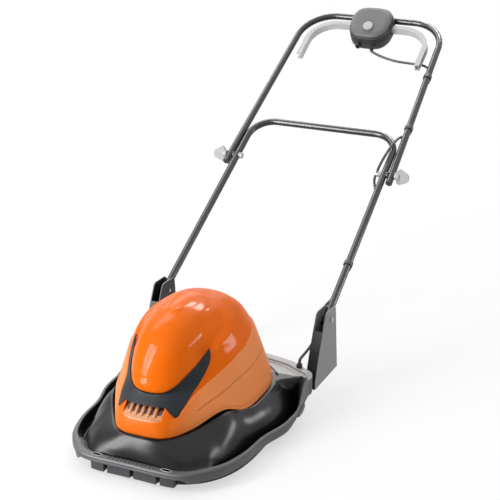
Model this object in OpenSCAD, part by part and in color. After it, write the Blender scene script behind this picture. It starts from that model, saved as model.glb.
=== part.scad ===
// Hover mower: a moulded deck with a belt-driven blade under a bulged hood,
// and a folding two-part tube handle with a switch box and two bail levers.
// Origin on the ground under the blade spindle, -Y to the front, +Z up, millimetres.

/* [Deck] */
// Spindle to the front edge of the deck
deck_front = 255; // [245:1:280]
// Spindle to the top of the rear panel
deck_rear = 282; // [272:1:300]
// Half the width of the deck at its widest
deck_half_w = 237; // [230:1:250]
// Half the width of the deck at its waist
waist_half_w = 213; // [205:1:222]
// Half the width of the straight nose
nose_half_w = 112; // [90:1:125]
// Height of the rim along the front and the sides
rim_h = 50; // [44:1:58]
// Height of the rim along the raised tail
tail_h = 102; // [92:1:112]
// Height of the trough inside the rim
trough_h = 22; // [18:1:28]
// Height of the flat crown that carries the hood and the drive
crown_h = 95; // [90:1:104]
// Wall of the deck moulding
deck_wall = 4; // [3:0.5:5]
// Diameter of the air inlet in the crown
eye_d = 130; // [110:1:140]
// Width of the grip strip across the nose
nose_strip = 19; // [16:1:24]

/* [Air skirt] */
// Half the width of the skirt ring
skirt_half_w = 196; // [188:1:198]
// Spindle to the front of the skirt ring
skirt_front = 221; // [216:1:223]
// Spindle to the rear of the skirt ring
skirt_rear = 236; // [220:1:240]
// Wall of the skirt ring
skirt_wall = 4; // [3:0.5:5]
// Half the width of the row of blocks across the nose
blocks_half_w = 101; // [90:1:106]
// Slots that part the row of blocks
block_slots = 3; // [1:2:5]
// Pitch of the slots
slot_pitch = 64; // [40:1:70]
// Width of each slot
slot_w = 9; // [5:1:14]

/* [Hood] */
// Spindle to the nose of the hood
hood_front = 206; // [198:1:208]
// Spindle to the back of the hood
hood_rear = 228; // [220:1:234]
// Half the width of the hood at its foot
hood_half_w = 163; // [156:1:168]
// Height of the hood's top
hood_top = 326; // [322:1:340]
// Wall of the hood moulding
hood_wall = 3; // [2.5:0.5:4]
// Height of the arch that each side of the hood's foot lifts by
arch_h = 24; // [0:1:26]
// Half the width of the raised nose panel
bulge_half_w = 90; // [80:1:96]

/* [Hood front] */
// Thickness of the trim mask
trim_t = 2.5; // [2:0.5:4]
// Width of the vent grille
vent_w = 86; // [70:1:92]
// Fins in the vent grille
vent_fins = 5; // [3:1:7]
// Thickness of each fin
fin_t = 7; // [4:0.5:9]

/* [Blade and spindle] */
// Diameter of the spindle
spindle_d = 12; // [10:0.5:14]
// Side of the deck to the tip of the blade
blade_clear = 72; // [68:1:92]
// Width of the blade
blade_w = 46; // [36:1:56]
// Thickness of the blade
blade_t = 3; // [2:0.5:4]
// Height of the blade's lower face
blade_z = 24; // [22:1:28]
// Height spacers on the spindle
spacers = 2; // [1:1:2]
// Thickness of each height spacer
spacer_t = 6; // [4:0.5:6]
// Diameter of the impeller
impeller_d = 268; // [220:1:272]
// Vanes on the impeller
impeller_vanes = 16; // [8:1:24]

/* [Drive] */
// Distance from the spindle to the motor axis
drive_pitch = 95; // [90:1:105]
// Diameter of the pulley on the spindle
driven_d = 124; // [100:1:130]
// Diameter of the pulley on the motor
driver_d = 23; // [18:1:26]
// Width of the drive belt
belt_w = 10; // [8:0.5:12]
// Thickness of the drive belt
belt_t = 3.5; // [2.5:0.5:4.5]
// Diameter of the motor's shell
motor_d = 90; // [84:1:96]
// Height of the motor's shell
motor_h = 92; // [86:1:98]
// Diameter of the motor's shaft
shaft_d = 8; // [7:0.5:10]

/* [Handle] */
// Angle of the handle above level
handle_angle = 30; // [26:1:40]
// Diameter of the handle tube
tube_d = 18; // [17:0.5:20]
// Wall of the handle tube
tube_wall = 1; // [0.8:0.1:1.5]
// Handle pivot to the cross bar of the lower handle
cross_v = 615; // [580:1:660]
// Handle pivot to the fold joint
fold_v = 476; // [440:1:490]
// Handle pivot to the top bar of the upper handle
top_v = 1060; // [1030:1:1100]
// Angle that the legs of the lower handle lean in by
lower_toe = 1; // [0.8:0.1:1.4]
// Angle that the legs of the upper handle lean in by
upper_toe = 2.2; // [1.6:0.1:2.6]
// Bend radius of the lower handle
lower_bend = 65; // [50:1:80]
// Bend radius of the upper handle
upper_bend = 98; // [80:1:110]

/* [Brackets] */
// Outer face of each bracket from the middle
bracket_half_w = 230; // [228:0.5:236]
// Thickness of each cheek
cheek_t = 2.5; // [2:0.5:4]
// Height of the handle pivot
pivot_z = 192; // [182:1:205]
// Spindle to the handle pivot
pivot_y = 330; // [325:1:340]
// Diameter of the pivot pins
pin_d = 8; // [6:0.5:9]

/* [Fold clamp] */
// Diameter of the clamp bolts
clamp_d = 8; // [6:0.5:8]
// Height of the wing knobs
knob_h = 42; // [34:1:50]
// Reach of the wing knobs from their hub
knob_reach = 30; // [24:1:36]
// Thickness of the wings
knob_t = 9; // [7:0.5:12]

/* [Switch box] */
// Length of the box along the handle
box_len = 118; // [112:1:126]
// Half the width of the box
box_half_w = 62; // [58:1:66]
// Height of the box above the handle plane
box_up = 34; // [30:1:40]
// Depth of the box below the handle plane
box_down = 26; // [22:1:30]
// Wall of the box shells
box_wall = 2.5; // [2:0.5:3]
// Diameter of the lock button
button_d = 28; // [22:1:32]
// Travel of the lock button
button_travel = 3; // [2:0.5:4]

/* [Levers] */
// Width of each bail lever across the handle plane
lever_w = 20; // [16:1:24]
// Depth of each bail lever in the handle plane
lever_t = 14; // [12:1:18]
// Wall of each bail lever
lever_wall = 3; // [2.5:0.5:4]
// Lever's middle line from the middle of the top bar
lever_drop = 36; // [34:1:44]
// Lever's middle line from the middle of the handle's leg
lever_inset = 36; // [34:1:44]
// Bend radius of each lever
lever_bend = 78; // [60:1:84]
// Length of the lever's tail along the leg
lever_tail = 66; // [50:1:90]

/* [Motor lead] */
// Diameter of the motor lead
lead_d = 7; // [6:0.5:8]

/* [Hidden] */
$fn = 64;

// Clearances
seat_gap = 0.3;
run_gap = 0.06;
slip = 0.15;
side_gap = 1;
eps = 0.5;

// Colours
black = "#1d1e20";
graphite = "#4a4d52";
orange = "#e8690b";
pale_grey = "#d9dadb";
steel = "silver";

// Small curve functions
function ramp(t) = let (c = min(1, max(0, t))) c * c * (3 - 2 * c);
function power(v, e) = sign(v) * pow(abs(v), e);
function spline_at(a, b, c, d, t) =
    0.5 * (2 * b + (c - a) * t + (2 * a - 5 * b + 4 * c - d) * t * t + (3 * b - a - 3 * c + d) * t * t * t);
function closed_spline(p, n) = let (m = len(p))
    [for (i = [0:m - 1], k = [0:n - 1])
        spline_at(p[(i + m - 1) % m], p[i], p[(i + 1) % m], p[(i + 2) % m], k / n)];
function open_spline(p, n) = let (m = len(p))
    concat([for (i = [0:m - 2], k = [0:n - 1])
        spline_at(p[max(0, i - 1)], p[i], p[i + 1], p[min(m - 1, i + 2)], k / n)], [p[m - 1]]);
function both_sides(half) = concat(half, [for (i = [len(half) - 2:-1:1]) [-half[i].x, half[i].y]]);
function unit(v) = v / norm(v);

// Joins rings of equal length into one closed skin. The rings run anticlockwise seen from above, first
// up the outside and then back down the inside, and the last ring meets the first.
module ring_skin(rings) {
    m = len(rings);
    n = len(rings[0]);
    polyhedron([for (r = rings) each r],
        [for (i = [0:m - 1], j = [0:n - 1], k = [0, 1])
            let (a = i * n + j, b = i * n + (j + 1) % n,
                c = ((i + 1) % m) * n + (j + 1) % n, d = ((i + 1) % m) * n + j)
            k == 0 ? [a, c, b] : [a, d, c]]);
}

// Joins rings into a skin with a flat cap at each end.
module capped_skin(rings) {
    m = len(rings);
    n = len(rings[0]);
    polyhedron([for (r = rings) each r],
        concat([[for (j = [0:n - 1]) j]], [[for (j = [n - 1:-1:0]) (m - 1) * n + j]],
            [for (i = [0:m - 2], j = [0:n - 1], k = [0, 1])
                let (a = i * n + j, b = i * n + (j + 1) % n, c = a + n, d = b + n)
                k == 0 ? [a, d, b] : [a, c, d]]));
}

// A round cord along a list of points.
module cord(path, d, sides = 8) {
    last = len(path) - 1;
    ahead = [for (i = [0:last]) unit(path[min(last, i + 1)] - path[max(0, i - 1)])];
    capped_skin([for (i = [0:last])
        let (w = ahead[i], s = unit(cross([0.31, 0.17, 0.93], w)), t = cross(w, s))
        [for (k = [0:sides - 1]) path[i] + d / 2 * (cos(360 * k / sides) * s + sin(360 * k / sides) * t)]]);
}

module ring(d, bore, h) {
    difference() {
        cylinder(d = d, h = h);
        translate([0, 0, -eps]) cylinder(d = bore, h = h + 2 * eps);
    }
}

// Across-axis helpers: a bar along X from x0 to x1, and children in the plane of the handle
module bar_x(x0, x1, d) {
    translate([min(x0, x1), 0, 0]) rotate([0, 90, 0]) cylinder(d = d, h = abs(x1 - x0));
}
module on_handle(v = 0) {
    translate([0, pivot_y, pivot_z]) rotate([handle_angle, 0, 0]) translate([0, v, 0]) children();
}

// Deck plan: half of the rim, from the middle of the nose to the middle of the rear panel
tail_half_w = bracket_half_w - 3;
cheek_in = bracket_half_w - 2 * cheek_t - tube_d - 2 * side_gap;
deck_mid = (deck_rear - deck_front) / 2;
deck_half_l = (deck_rear + deck_front) / 2;
rim_half = [[0, -deck_front], [nose_half_w, -deck_front + 3], [nose_half_w + 46, -deck_front + 40],
    [waist_half_w - 25, -deck_front + 82], [waist_half_w - 6, -deck_front + 150],
    [waist_half_w + 1, -26], [deck_half_w - 5, 42], [deck_half_w, 90], [deck_half_w - 1, 146],
    [tail_half_w + 2, 194], [tail_half_w, 221], [cheek_in - 12, 241], [cheek_in - 62, 264], [0, deck_rear]];
rim_plan = closed_spline(both_sides(rim_half), 4);

// The rim drawn in by three insets: sides, front and rear
function drawn_in(p, side, front, rear) =
    [p.x * (1 - side / deck_half_w),
     deck_mid + (p.y - deck_mid) * (1 - (p.y < deck_mid ? front : rear) / deck_half_l)];
tail_from = 130;
tail_to = 224;
hem_from = 50;
hem_to = 165;
function tail_share(y) = ramp((y - tail_from) / (tail_to - tail_from));
function hem_share(y) = ramp((y - hem_from) / (hem_to - hem_from));
// The arch in each side of the hood's foot, steeper behind than ahead; the deck rises into it
arch_y = -66;
arch_ahead = 60;
arch_behind = 42;
arch_fade = 0.25;
arch_fill = 0.82;
function arch_at(p) = arch_h * ramp((abs(p.x) - 60) / 25)
    * exp(-pow((p.y - arch_y) / (p.y < arch_y ? arch_ahead : arch_behind), 2));
// A ring of the deck: insets, its height at the front and sides, its height along the tail, and its
// share of the rise into the hood's arches
function deck_ring(side, front, rear, z, z_tail, rise = 0) =
    [for (p = rim_plan) let (q = drawn_in(p, side, front, rear))
        [q.x, q.y, z + (z_tail - z) * tail_share(p.y) + rise * arch_fill * arch_at(q)]];
function hem_ring(inset) =
    [for (p = rim_plan) let (q = drawn_in(p, inset, inset, inset))
        [q.x, q.y, hem_h + (tail_hem_h - hem_h) * hem_share(p.y)]];
function eye_ring(z) =
    [for (p = rim_plan) let (q = unit(drawn_in(p, 0, 0, 0))) [eye_d / 2 * q.x, eye_d / 2 * q.y, z]];
hem_h = 26;
tail_hem_h = 50;
lip = 8;
tail_lip = 24;
nose_floor_h = 43;
tail_floor_h = 97;
floor_front = 45;
floor_from = 196;
floor_to = 220;
crown_edge = 6;
flat_in = 26;
valley_y = -24;
valley_spread = 34;
valley_depth = 12;
// Height of the trough's floor, which rises towards the nose and towards the tail
function floor_at(y) = trough_h + (nose_floor_h - trough_h) * ramp((floor_front - deck_front - y) / floor_front + 1)
    + (tail_floor_h - trough_h) * ramp((y - floor_from) / (floor_to - floor_from));
function floor_ring(side, front, rear, z) =
    [for (p = rim_plan) let (q = drawn_in(p, side, front, rear)) [q.x, q.y, floor_at(p.y) + z]];
// The crown's edge follows the hood's foot, in the same direction from the hood's middle as a rim point
function foot_turns(g) = [for (a = [-90:3:90]) let (q = hood_point(a, 0, g)) [atan2(q.y - hood_mid, q.x), a]];
function valley_at(y) = valley_depth * exp(-pow((y - valley_y) / valley_spread, 2));
function crown_point(p, turns, g) = let (
    q = hood_point(lookup(atan2(p.y - hood_mid, abs(p.x)), turns), 0, g))
    [sign(p.x) * (q.x - (abs(p.x) > 60 ? valley_at(q.y) : 0)), q.y];
function flat_ring(in, z) = let (turns = foot_turns(crown_edge - in))
    [for (p = rim_plan) let (c = crown_point(p, turns, crown_edge - in)) [c.x, c.y, z]];
// A ring of the hump, a share t of the way from the crown's edge to the trough's floor and a share d down
function hump_ring(t, d, in, z) = let (turns = foot_turns(crown_edge - in))
    [for (p = rim_plan) let (
        c = crown_point(p, turns, crown_edge - in),
        b = drawn_in(p, lip + 16 + in, nose_strip + 3 + in, tail_lip + 9 + in),
        q = c + t * (b - c),
        rise = d < 0.6 ? arch_fill * arch_at(q) * (1 - d / 0.6) : 0)
        [q.x, q.y, crown_h + rise + (floor_at(p.y) - crown_h) * d + z]];

module deck() {
    corner = [bracket_half_w, bracket_half_w, tail_h];
    color(black) difference() {
        deck_shell();
        for (x = [-bracket_half_w - cheek_in + seat_gap, cheek_in - seat_gap])
            translate([x, bracket_foot_y - seat_gap, tail_hem_h - 8]) cube(corner);
    }
}
// Down the hump: shares of the way out and of the way down, from the trough up to the crown
hump_line = [[0.9, 0.98], [0.78, 0.83], [0.6, 0.59], [0.42, 0.38], [0.25, 0.2], [0.1, 0.07], [0, 0]];
module deck_shell() {
    w = deck_wall;
    s = nose_strip;
    ring_skin([
        hem_ring(2),
        deck_ring(0, 0, 0, rim_h - 5, tail_h - 5),
        deck_ring(2, 2, 2, rim_h - 1, tail_h - 1),
        deck_ring(lip - 2, s - 2, tail_lip - 2, rim_h, tail_h),
        deck_ring(lip + 1, s + 1, tail_lip + 1, rim_h - 3, tail_h - 3),
        floor_ring(lip + 10, s + 2, tail_lip + 5, 3),
        floor_ring(lip + 16, s + 3, tail_lip + 9, 0),
        for (h = hump_line) hump_ring(h[0], h[1], 0, 0),
        flat_ring(flat_in, crown_h),
        eye_ring(crown_h),
        eye_ring(crown_h - w),
        flat_ring(flat_in + w, crown_h - w),
        for (i = [len(hump_line) - 1:-1:0]) hump_ring(hump_line[i][0], hump_line[i][1], w, -w),
        floor_ring(lip + 13, s - 1, tail_lip + 6, -w),
        deck_ring(lip - 1, s - 4, tail_lip - 4, rim_h - 3 - w, tail_h - 3 - w),
        deck_ring(w + 1, w + 1, w + 1, rim_h - 4 - w, tail_h - 4 - w),
        hem_ring(w + 2)]);
}

// Air skirt: the ring that the mower stands on
skirt_mid = (skirt_rear - skirt_front) / 2;
skirt_half_l = (skirt_rear + skirt_front) / 2;
skirt_top = trough_h - deck_wall - seat_gap;
block_inset = deck_wall + 7;
block_t = 9;
block_low = 11;
block_top = min(rim_h - 4, nose_floor_h) - deck_wall - 2 * seat_gap;
function rim_line(inset) = [for (p = rim_plan) drawn_in(p, inset, inset, inset)];
function skirt_plan(inset) = [for (a = [0:4:356])
    [(skirt_half_w - inset) * power(cos(a), 2 / 2.7),
     skirt_mid + (skirt_half_l - inset) * power(sin(a), 2 / 2.7)]];

module air_skirt() {
    color(black) {
        linear_extrude(skirt_top) difference() {
            polygon(skirt_plan(0));
            polygon(skirt_plan(skirt_wall));
        }
        difference() {
            union() {
                translate([0, 0, block_low]) linear_extrude(block_top - block_low) intersection() {
                    difference() {
                        polygon(rim_line(block_inset));
                        polygon(rim_line(block_inset + block_t));
                    }
                    nose_zone(deck_front);
                }
                translate([0, 0, block_low]) linear_extrude(skirt_top - block_low - 1) intersection() {
                    difference() {
                        polygon(rim_line(block_inset));
                        polygon(skirt_plan(skirt_wall / 2));
                    }
                    nose_zone(deck_front);
                }
            }
            for (i = [0:block_slots - 1])
                translate([(i - (block_slots - 1) / 2) * slot_pitch - slot_w / 2, -deck_front, block_low - eps])
                    cube([slot_w, deck_front - skirt_front - 2 * seat_gap, block_top]);
        }
    }
}
module nose_zone(reach) {
    translate([-blocks_half_w, -reach]) square([2 * blocks_half_w, reach / 2]);
}

// Hood: level slices, each a squarish oval that narrows towards the nose, with the nose panel in front.
// The heights are counted from the foot to the top, and each table gives one size of the slices.
hood_foot = crown_h + seat_gap;
hood_h = hood_top - hood_foot;
hood_mid = 40;
hood_rise = [0, 0.07, 0.145, 0.21, 0.28, 0.36, 0.45, 0.55, 0.65, 0.75, 0.83, 0.9, 0.95, 0.985];
hood_width = [[0, 1], [0.145, 0.955], [0.28, 0.92], [0.45, 0.857], [0.65, 0.741], [0.83, 0.555],
    [0.92, 0.36], [0.985, 0.13]];
hood_nose = [[0, 1], [0.145, 0.988], [0.25, 0.925], [0.36, 0.8], [0.45, 0.765], [0.65, 0.67], [0.83, 0.545],
    [0.92, 0.43], [0.985, 0.3]];
hood_back = [[0, 1], [0.145, 0.97], [0.28, 0.955], [0.45, 0.915], [0.65, 0.86], [0.83, 0.69],
    [0.92, 0.49], [0.985, 0.2]];
hood_taper = [[0, 0.408], [0.28, 0.392], [0.65, 0.328], [0.985, 0.063]];
hood_square = [[0, 3.45], [0.28, 2.8], [0.65, 2.5], [0.985, 2.4]];
bulge_nose = [[0.3, 0.913], [0.36, 0.976], [0.5, 0.961], [0.65, 0.898], [0.8, 0.777], [0.9, 0.631], [0.95, 0.495],
    [0.985, 0.35]];
bulge_round = 2.4;
bulge_width = [[0.3, 0.9], [0.45, 1], [0.65, 0.94], [0.83, 0.78], [0.95, 0.5], [0.985, 0.3]];

// The hood's skin at a turn angle and a share of its height, grown outwards by g
function hood_point(a, h, g) = let (
    e = 2 / lookup(h, hood_square),
    nose = (hood_front + hood_mid) * lookup(h, hood_nose) + g,
    back = (hood_rear - hood_mid) * lookup(h, hood_back) + g,
    y0 = power(sin(a), e) * (sin(a) < 0 ? nose : back),
    narrow = 1 - lookup(h, hood_taper) * ramp(-y0 / nose),
    x = power(cos(a), e) * (hood_half_w * lookup(h, hood_width) + g) * narrow,
    half = bulge_half_w * lookup(h, bulge_width) + g,
    panel = h < 0.3 || abs(x) >= half || sin(a) > 0 ? y0
        : -(hood_front * lookup(h, bulge_nose) + g) * pow(1 - pow(abs(x) / half, bulge_round), 1 / bulge_round))
    [x, hood_mid + min(y0, panel), hood_foot + h * hood_h + (h > 0.9 ? g * (h - 0.9) / 0.1 : 0)];
hood_angles = [for (i = [0:79]) -90 + 4.5 * i];
function hood_ring(h, g) = [for (a = hood_angles) let (p = hood_point(a, h, g))
    [p.x, p.y, p.z + arch_at(p) * max(0, 1 - h / arch_fade)]];
hood_cap = [0, hood_mid - 8];

module hood() {
    outer = [for (h = hood_rise) hood_ring(h, 0)];
    inner = [for (h = hood_rise) hood_ring(h, -hood_wall)];
    top = [for (a = hood_angles) [hood_cap.x + 2 * cos(a), hood_cap.y + 2 * sin(a), hood_top]];
    roof = [for (p = top) [p.x, p.y, hood_top - hood_wall]];
    m = len(hood_rise);
    n = len(hood_angles);
    color(orange) difference() {
        union() {
            capped_shell(concat(outer, [top]), concat(inner, [roof]));
        }
        vent_opening(vent_w - 8);
    }
}

// A shell from outer rings and inner rings that both run from the foot to a small top ring
module capped_shell(outer, inner) {
    m = len(outer);
    n = len(outer[0]);
    half = m * n;
    polyhedron([for (r = concat(outer, inner)) each r],
        concat(
            [for (i = [0:m - 2], j = [0:n - 1], k = [0, 1])
                let (a = i * n + j, b = i * n + (j + 1) % n, c = a + n, d = b + n)
                k == 0 ? [a, d, b] : [a, c, d]],
            [for (i = [0:m - 2], j = [0:n - 1], k = [0, 1])
                let (a = half + i * n + j, b = half + i * n + (j + 1) % n, c = a + n, d = b + n)
                k == 0 ? [a, b, d] : [a, d, c]],
            [for (j = [0:n - 1], k = [0, 1])
                let (a = j, b = (j + 1) % n, c = half + j, d = half + (j + 1) % n)
                k == 0 ? [a, b, d] : [a, d, c]],
            [[for (j = [n - 1:-1:0]) half - n + j]],
            [[for (j = [0:n - 1]) 2 * half - n + j]]));
}

// Hood front
vent_foot = 0.155;
vent_head = 0.27;
vent_slope = 38;
vent_y = -hood_front + 15;
vent_z = hood_foot + (vent_foot + vent_head) / 2 * hood_h;
vent_h = 30;
module vent_opening(w) {
    translate([-w / 2, vent_y - 30, vent_z - vent_h / 2 + 3]) cube([w, 60, vent_h - 6]);
}

// The dark mask that wraps the foot of the nose panel, with a horn on each side
horn_half_a = 64;
trim_cols = 44;
trim_rows = 4;
trim_foot_line = [[0, 0.275], [0.35, 0.27], [0.48, 0.215], [0.58, 0.175], [0.64, 0.185], [0.75, 0.265],
    [0.8, 0.33], [0.83, 0.4], [0.91, 0.49], [1, 0.6]];
trim_head_line = [[0, 0.35], [0.3, 0.365], [0.5, 0.415], [0.75, 0.52], [1, 0.65]];
function trim_foot(u) = lookup(abs(u), trim_foot_line);
function trim_head(u) = lookup(abs(u), trim_head_line);
module hood_trim() {
    rows = [for (r = [0:trim_rows]) r / trim_rows];
    face = [for (c = [0:trim_cols]) let (u = 0.999 * (2 * c / trim_cols - 1), a = -90 + horn_half_a * u)
        concat(
            [for (t = rows) hood_point(a, trim_foot(u) + t * (trim_head(u) - trim_foot(u)), -2)],
            [for (i = [trim_rows:-1:0])
                hood_point(a, trim_foot(u) + rows[i] * (trim_head(u) - trim_foot(u)), seat_gap + trim_t)])];
    color(graphite) difference() {
        capped_skin(face);
        hood_body(seat_gap);
    }
}
// The hood as a solid, grown outwards by g
module hood_body(g) {
    capped_skin([for (h = hood_rise) hood_ring(h, g)]);
}

module vent_grille() {
    pitch = vent_w / vent_fins;
    color(orange) translate([0, vent_y, vent_z]) rotate([vent_slope, 0, 0]) {
        translate([-vent_w / 2 + 4 + seat_gap, 6, -vent_h / 2 + 4]) cube([vent_w - 8 - 2 * seat_gap, 3, vent_h - 8]);
        for (i = [0:vent_fins - 1])
            translate([(i - (vent_fins - 1) / 2) * (pitch - 2) - fin_t / 2, -7, -vent_h / 2 + 5])
                cube([fin_t, 14, vent_h - 10]);
    }
}

// Screw with its head up, the head's seat at the origin
module screw(d, length, head_d, head_h) {
    translate([0, 0, -length]) cylinder(d = d, h = length + eps);
    cylinder(d = head_d, h = head_h);
}
hood_screw_places = [[-112, 55], [112, 55], [-112, 170], [112, 170]];
module hood_screws() {
    color(steel) for (p = hood_screw_places)
        translate([p.x, p.y, crown_h + seat_gap]) screw(4, deck_wall + 4, 9, 3);
}

// Spindle, its housing and what it carries
blade_len = 2 * (min(deck_half_w, deck_front - 18) - blade_clear);
bearing_d = 32;
bearing_h = 10;
housing_low = crown_h - 8;
housing_h = 34;
hub_d = bearing_d + 12;
lower_bearing_z = housing_low + 2;
upper_bearing_z = housing_low + housing_h - bearing_h - 2;
flange_d = eye_d + 26;
housing_bolt_r = eye_d / 2 + 8;
pulley_z = housing_low + housing_h + 6;
pulley_h = belt_w + 5;

module spindle_housing() {
    color(steel) difference() {
        union() {
            translate([0, 0, crown_h + seat_gap]) ring(flange_d, eye_d - 6, 5);
            translate([0, 0, housing_low]) cylinder(d = hub_d, h = housing_h);
            for (a = [45:90:315]) rotate(a)
                translate([hub_d / 2 - 3, -6, crown_h + seat_gap]) cube([eye_d / 2 - hub_d / 2 + 4, 12, 5]);
        }
        translate([0, 0, housing_low - eps]) cylinder(d = bearing_d + 2 * run_gap, h = housing_h + 2 * eps);
        for (a = [45:90:315]) rotate(a)
            translate([housing_bolt_r, 0, crown_h]) cylinder(d = 5, h = 10);
    }
}
module bearing(z) {
    color(steel) translate([0, 0, z]) ring(bearing_d, spindle_d + 2 * run_gap, bearing_h);
}
module lower_bearing() { bearing(lower_bearing_z); }
module upper_bearing() { bearing(upper_bearing_z); }
module housing_screws() {
    color(steel) for (a = [45:90:315]) rotate(a)
        translate([housing_bolt_r, 0, crown_h + 5 + 2 * seat_gap]) screw(4, deck_wall + 8, 8, 3);
}

spacer_d = 30;
impeller_z = blade_z + blade_t + spacers * (spacer_t + seat_gap) + seat_gap;
module spindle() {
    color(steel) difference() {
        translate([0, 0, blade_z - 1]) cylinder(d = spindle_d, h = pulley_z + pulley_h + 6 - blade_z);
        translate([0, 0, blade_z - 2]) cylinder(d = 6 + 2 * slip, h = 24);
    }
}
module driven_pulley() {
    color(graphite) translate([0, 0, pulley_z]) difference() {
        union() {
            cylinder(d = driven_d, h = pulley_h);
            for (z = [0, pulley_h - 1.5]) translate([0, 0, z]) cylinder(d = driven_d + 5, h = 1.5);
        }
        translate([0, 0, -eps]) cylinder(d = spindle_d + 2 * slip, h = pulley_h + 2 * eps);
        translate([0, 0, 4]) ring(driven_d - 12, 34, pulley_h);
    }
}
impeller_hub_h = housing_low - 3 - impeller_z;
module impeller() {
    color(black) translate([0, 0, impeller_z]) {
        difference() {
            union() {
                cylinder(d = impeller_d, h = 3);
                cylinder(d = 34, h = impeller_hub_h);
                for (i = [0:impeller_vanes - 1]) rotate(i * 360 / impeller_vanes)
                    translate([impeller_d / 4, 0, 2]) rotate(-28)
                        translate([0, -1.25, 0]) cube([impeller_d / 4 - 4, 2.5, 30]);
            }
            translate([0, 0, -eps]) cylinder(d = spindle_d + 2 * slip, h = impeller_hub_h + 2 * eps);
        }
    }
}
module height_spacers() {
    color(black) for (i = [0:spacers - 1])
        translate([0, 0, blade_z + blade_t + seat_gap + i * (spacer_t + seat_gap)])
            ring(spacer_d, spindle_d + 2 * slip, spacer_t);
}
module blade() {
    taper = blade_w * 0.32;
    color(steel) translate([0, 0, blade_z]) difference() {
        linear_extrude(blade_t) polygon([
            [-blade_len / 2, -blade_w / 2 + taper], [-blade_len / 6, -blade_w / 2], [blade_len / 2, -blade_w / 2],
            [blade_len / 2, blade_w / 2 - taper], [blade_len / 6, blade_w / 2], [-blade_len / 2, blade_w / 2]]);
        translate([0, 0, -eps]) cylinder(d = spindle_d + 2 * slip, h = blade_t + 2 * eps);
    }
}
washer_t = 2;
module blade_washer() {
    color(steel) translate([0, 0, blade_z - 1 - seat_gap - washer_t]) ring(26, 6.4, washer_t);
}
module blade_bolt() {
    head = blade_z - 1 - 2 * seat_gap - washer_t;
    color(steel) {
        translate([0, 0, head - 5]) cylinder(d = 13, h = 5, $fn = 6);
        translate([0, 0, head - eps]) cylinder(d = 6, h = 22);
    }
}

// Motor and drive
plate_z = pulley_z + pulley_h + 8;
plate_t = 4;
post_d = 14;
plate_half_w = 86;
plate_half_l = 58;
plate_edge = 8;
post_places = [for (x = [-1, 1], y = [-1, 1])
    [x * (plate_half_w - plate_edge), drive_pitch + y * (plate_half_l - plate_edge)]];
shell_z = plate_z + plate_t + seat_gap;
motor_bearing_d = 22;
motor_bearing_h = 7;
module at_motor(z) { translate([0, drive_pitch, z]) children(); }

module motor_plate() {
    color(steel) difference() {
        union() {
            translate([-plate_half_w, drive_pitch - plate_half_l, plate_z])
                cube([2 * plate_half_w, 2 * plate_half_l, plate_t]);
            for (p = post_places)
                translate([p.x, p.y, crown_h + seat_gap]) cylinder(d = post_d, h = plate_z - crown_h);
        }
        at_motor(plate_z - eps) cylinder(d = shaft_d + 6, h = plate_t + 2 * eps);
    }
}
module motor_shell() {
    color(graphite) at_motor(shell_z) difference() {
        cylinder(d = motor_d, h = motor_h);
        translate([0, 0, 9]) cylinder(d = motor_d - 6, h = motor_h);
        translate([0, 0, 1]) cylinder(d = motor_bearing_d + 2 * slip, h = 9);
        translate([0, 0, -eps]) cylinder(d = shaft_d + 6, h = 4);
    }
}
field_z = shell_z + 18;
core_h = 42;
module motor_field() {
    color(steel) at_motor(field_z) ring(motor_d - 6 - 2 * slip, 56, core_h);
}
module motor_cap() {
    color(graphite) at_motor(shell_z + motor_h + seat_gap) difference() {
        cylinder(d = motor_d, h = 9);
        translate([0, 0, -eps]) cylinder(d = motor_bearing_d + 2 * slip, h = motor_bearing_h + eps);
    }
}
module motor_bearings() {
    color(steel) for (z = [shell_z + 1.3, shell_z + motor_h + seat_gap])
        at_motor(z) ring(motor_bearing_d, shaft_d + 2 * run_gap, motor_bearing_h - 0.5);
}
commutator_d = 26;
commutator_z = field_z + core_h + 9;
module carbon_brushes() {
    color(black) for (s = [-1, 1]) at_motor(commutator_z + 6)
        translate([s > 0 ? commutator_d / 2 + seat_gap : -motor_d / 2 + 3 + seat_gap, -4, -4])
            cube([motor_d / 2 - commutator_d / 2 - 3 - 2 * seat_gap, 8, 8]);
}
module motor_shaft() {
    top = shell_z + motor_h + motor_bearing_h - 1;
    color(steel) at_motor(pulley_z - 2) cylinder(d = shaft_d, h = top - pulley_z + 2);
}
module armature() {
    color("#8a5a2b") at_motor(field_z - 3) ring(54.4, shaft_d + 2 * slip, core_h + 6);
}
module commutator() {
    color("#b87333") at_motor(commutator_z - 3) ring(commutator_d, shaft_d + 2 * slip, 16);
}
module driver_pulley() {
    color(steel) at_motor(pulley_z) difference() {
        union() {
            cylinder(d = driver_d, h = pulley_h);
            for (z = [0, pulley_h - 1.5]) translate([0, 0, z]) cylinder(d = driver_d + 5, h = 1.5);
        }
        translate([0, 0, -eps]) cylinder(d = shaft_d + 2 * slip, h = pulley_h + 2 * eps);
    }
}
// The belt: two arcs and the straight runs that touch both
module belt_plan(grow) {
    big = driven_d / 2 + grow;
    small = driver_d / 2 + grow;
    tilt = asin((big - small) / drive_pitch);
    circle(r = big);
    translate([0, drive_pitch]) circle(r = small);
    polygon([
        [big * cos(tilt), big * sin(tilt)], [small * cos(tilt), drive_pitch + small * sin(tilt)],
        [-small * cos(tilt), drive_pitch + small * sin(tilt)], [-big * cos(tilt), big * sin(tilt)]]);
}
module drive_belt() {
    color(black) translate([0, 0, pulley_z + 2.5]) linear_extrude(belt_w) difference() {
        belt_plan(belt_t);
        belt_plan(seat_gap);
    }
}

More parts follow.
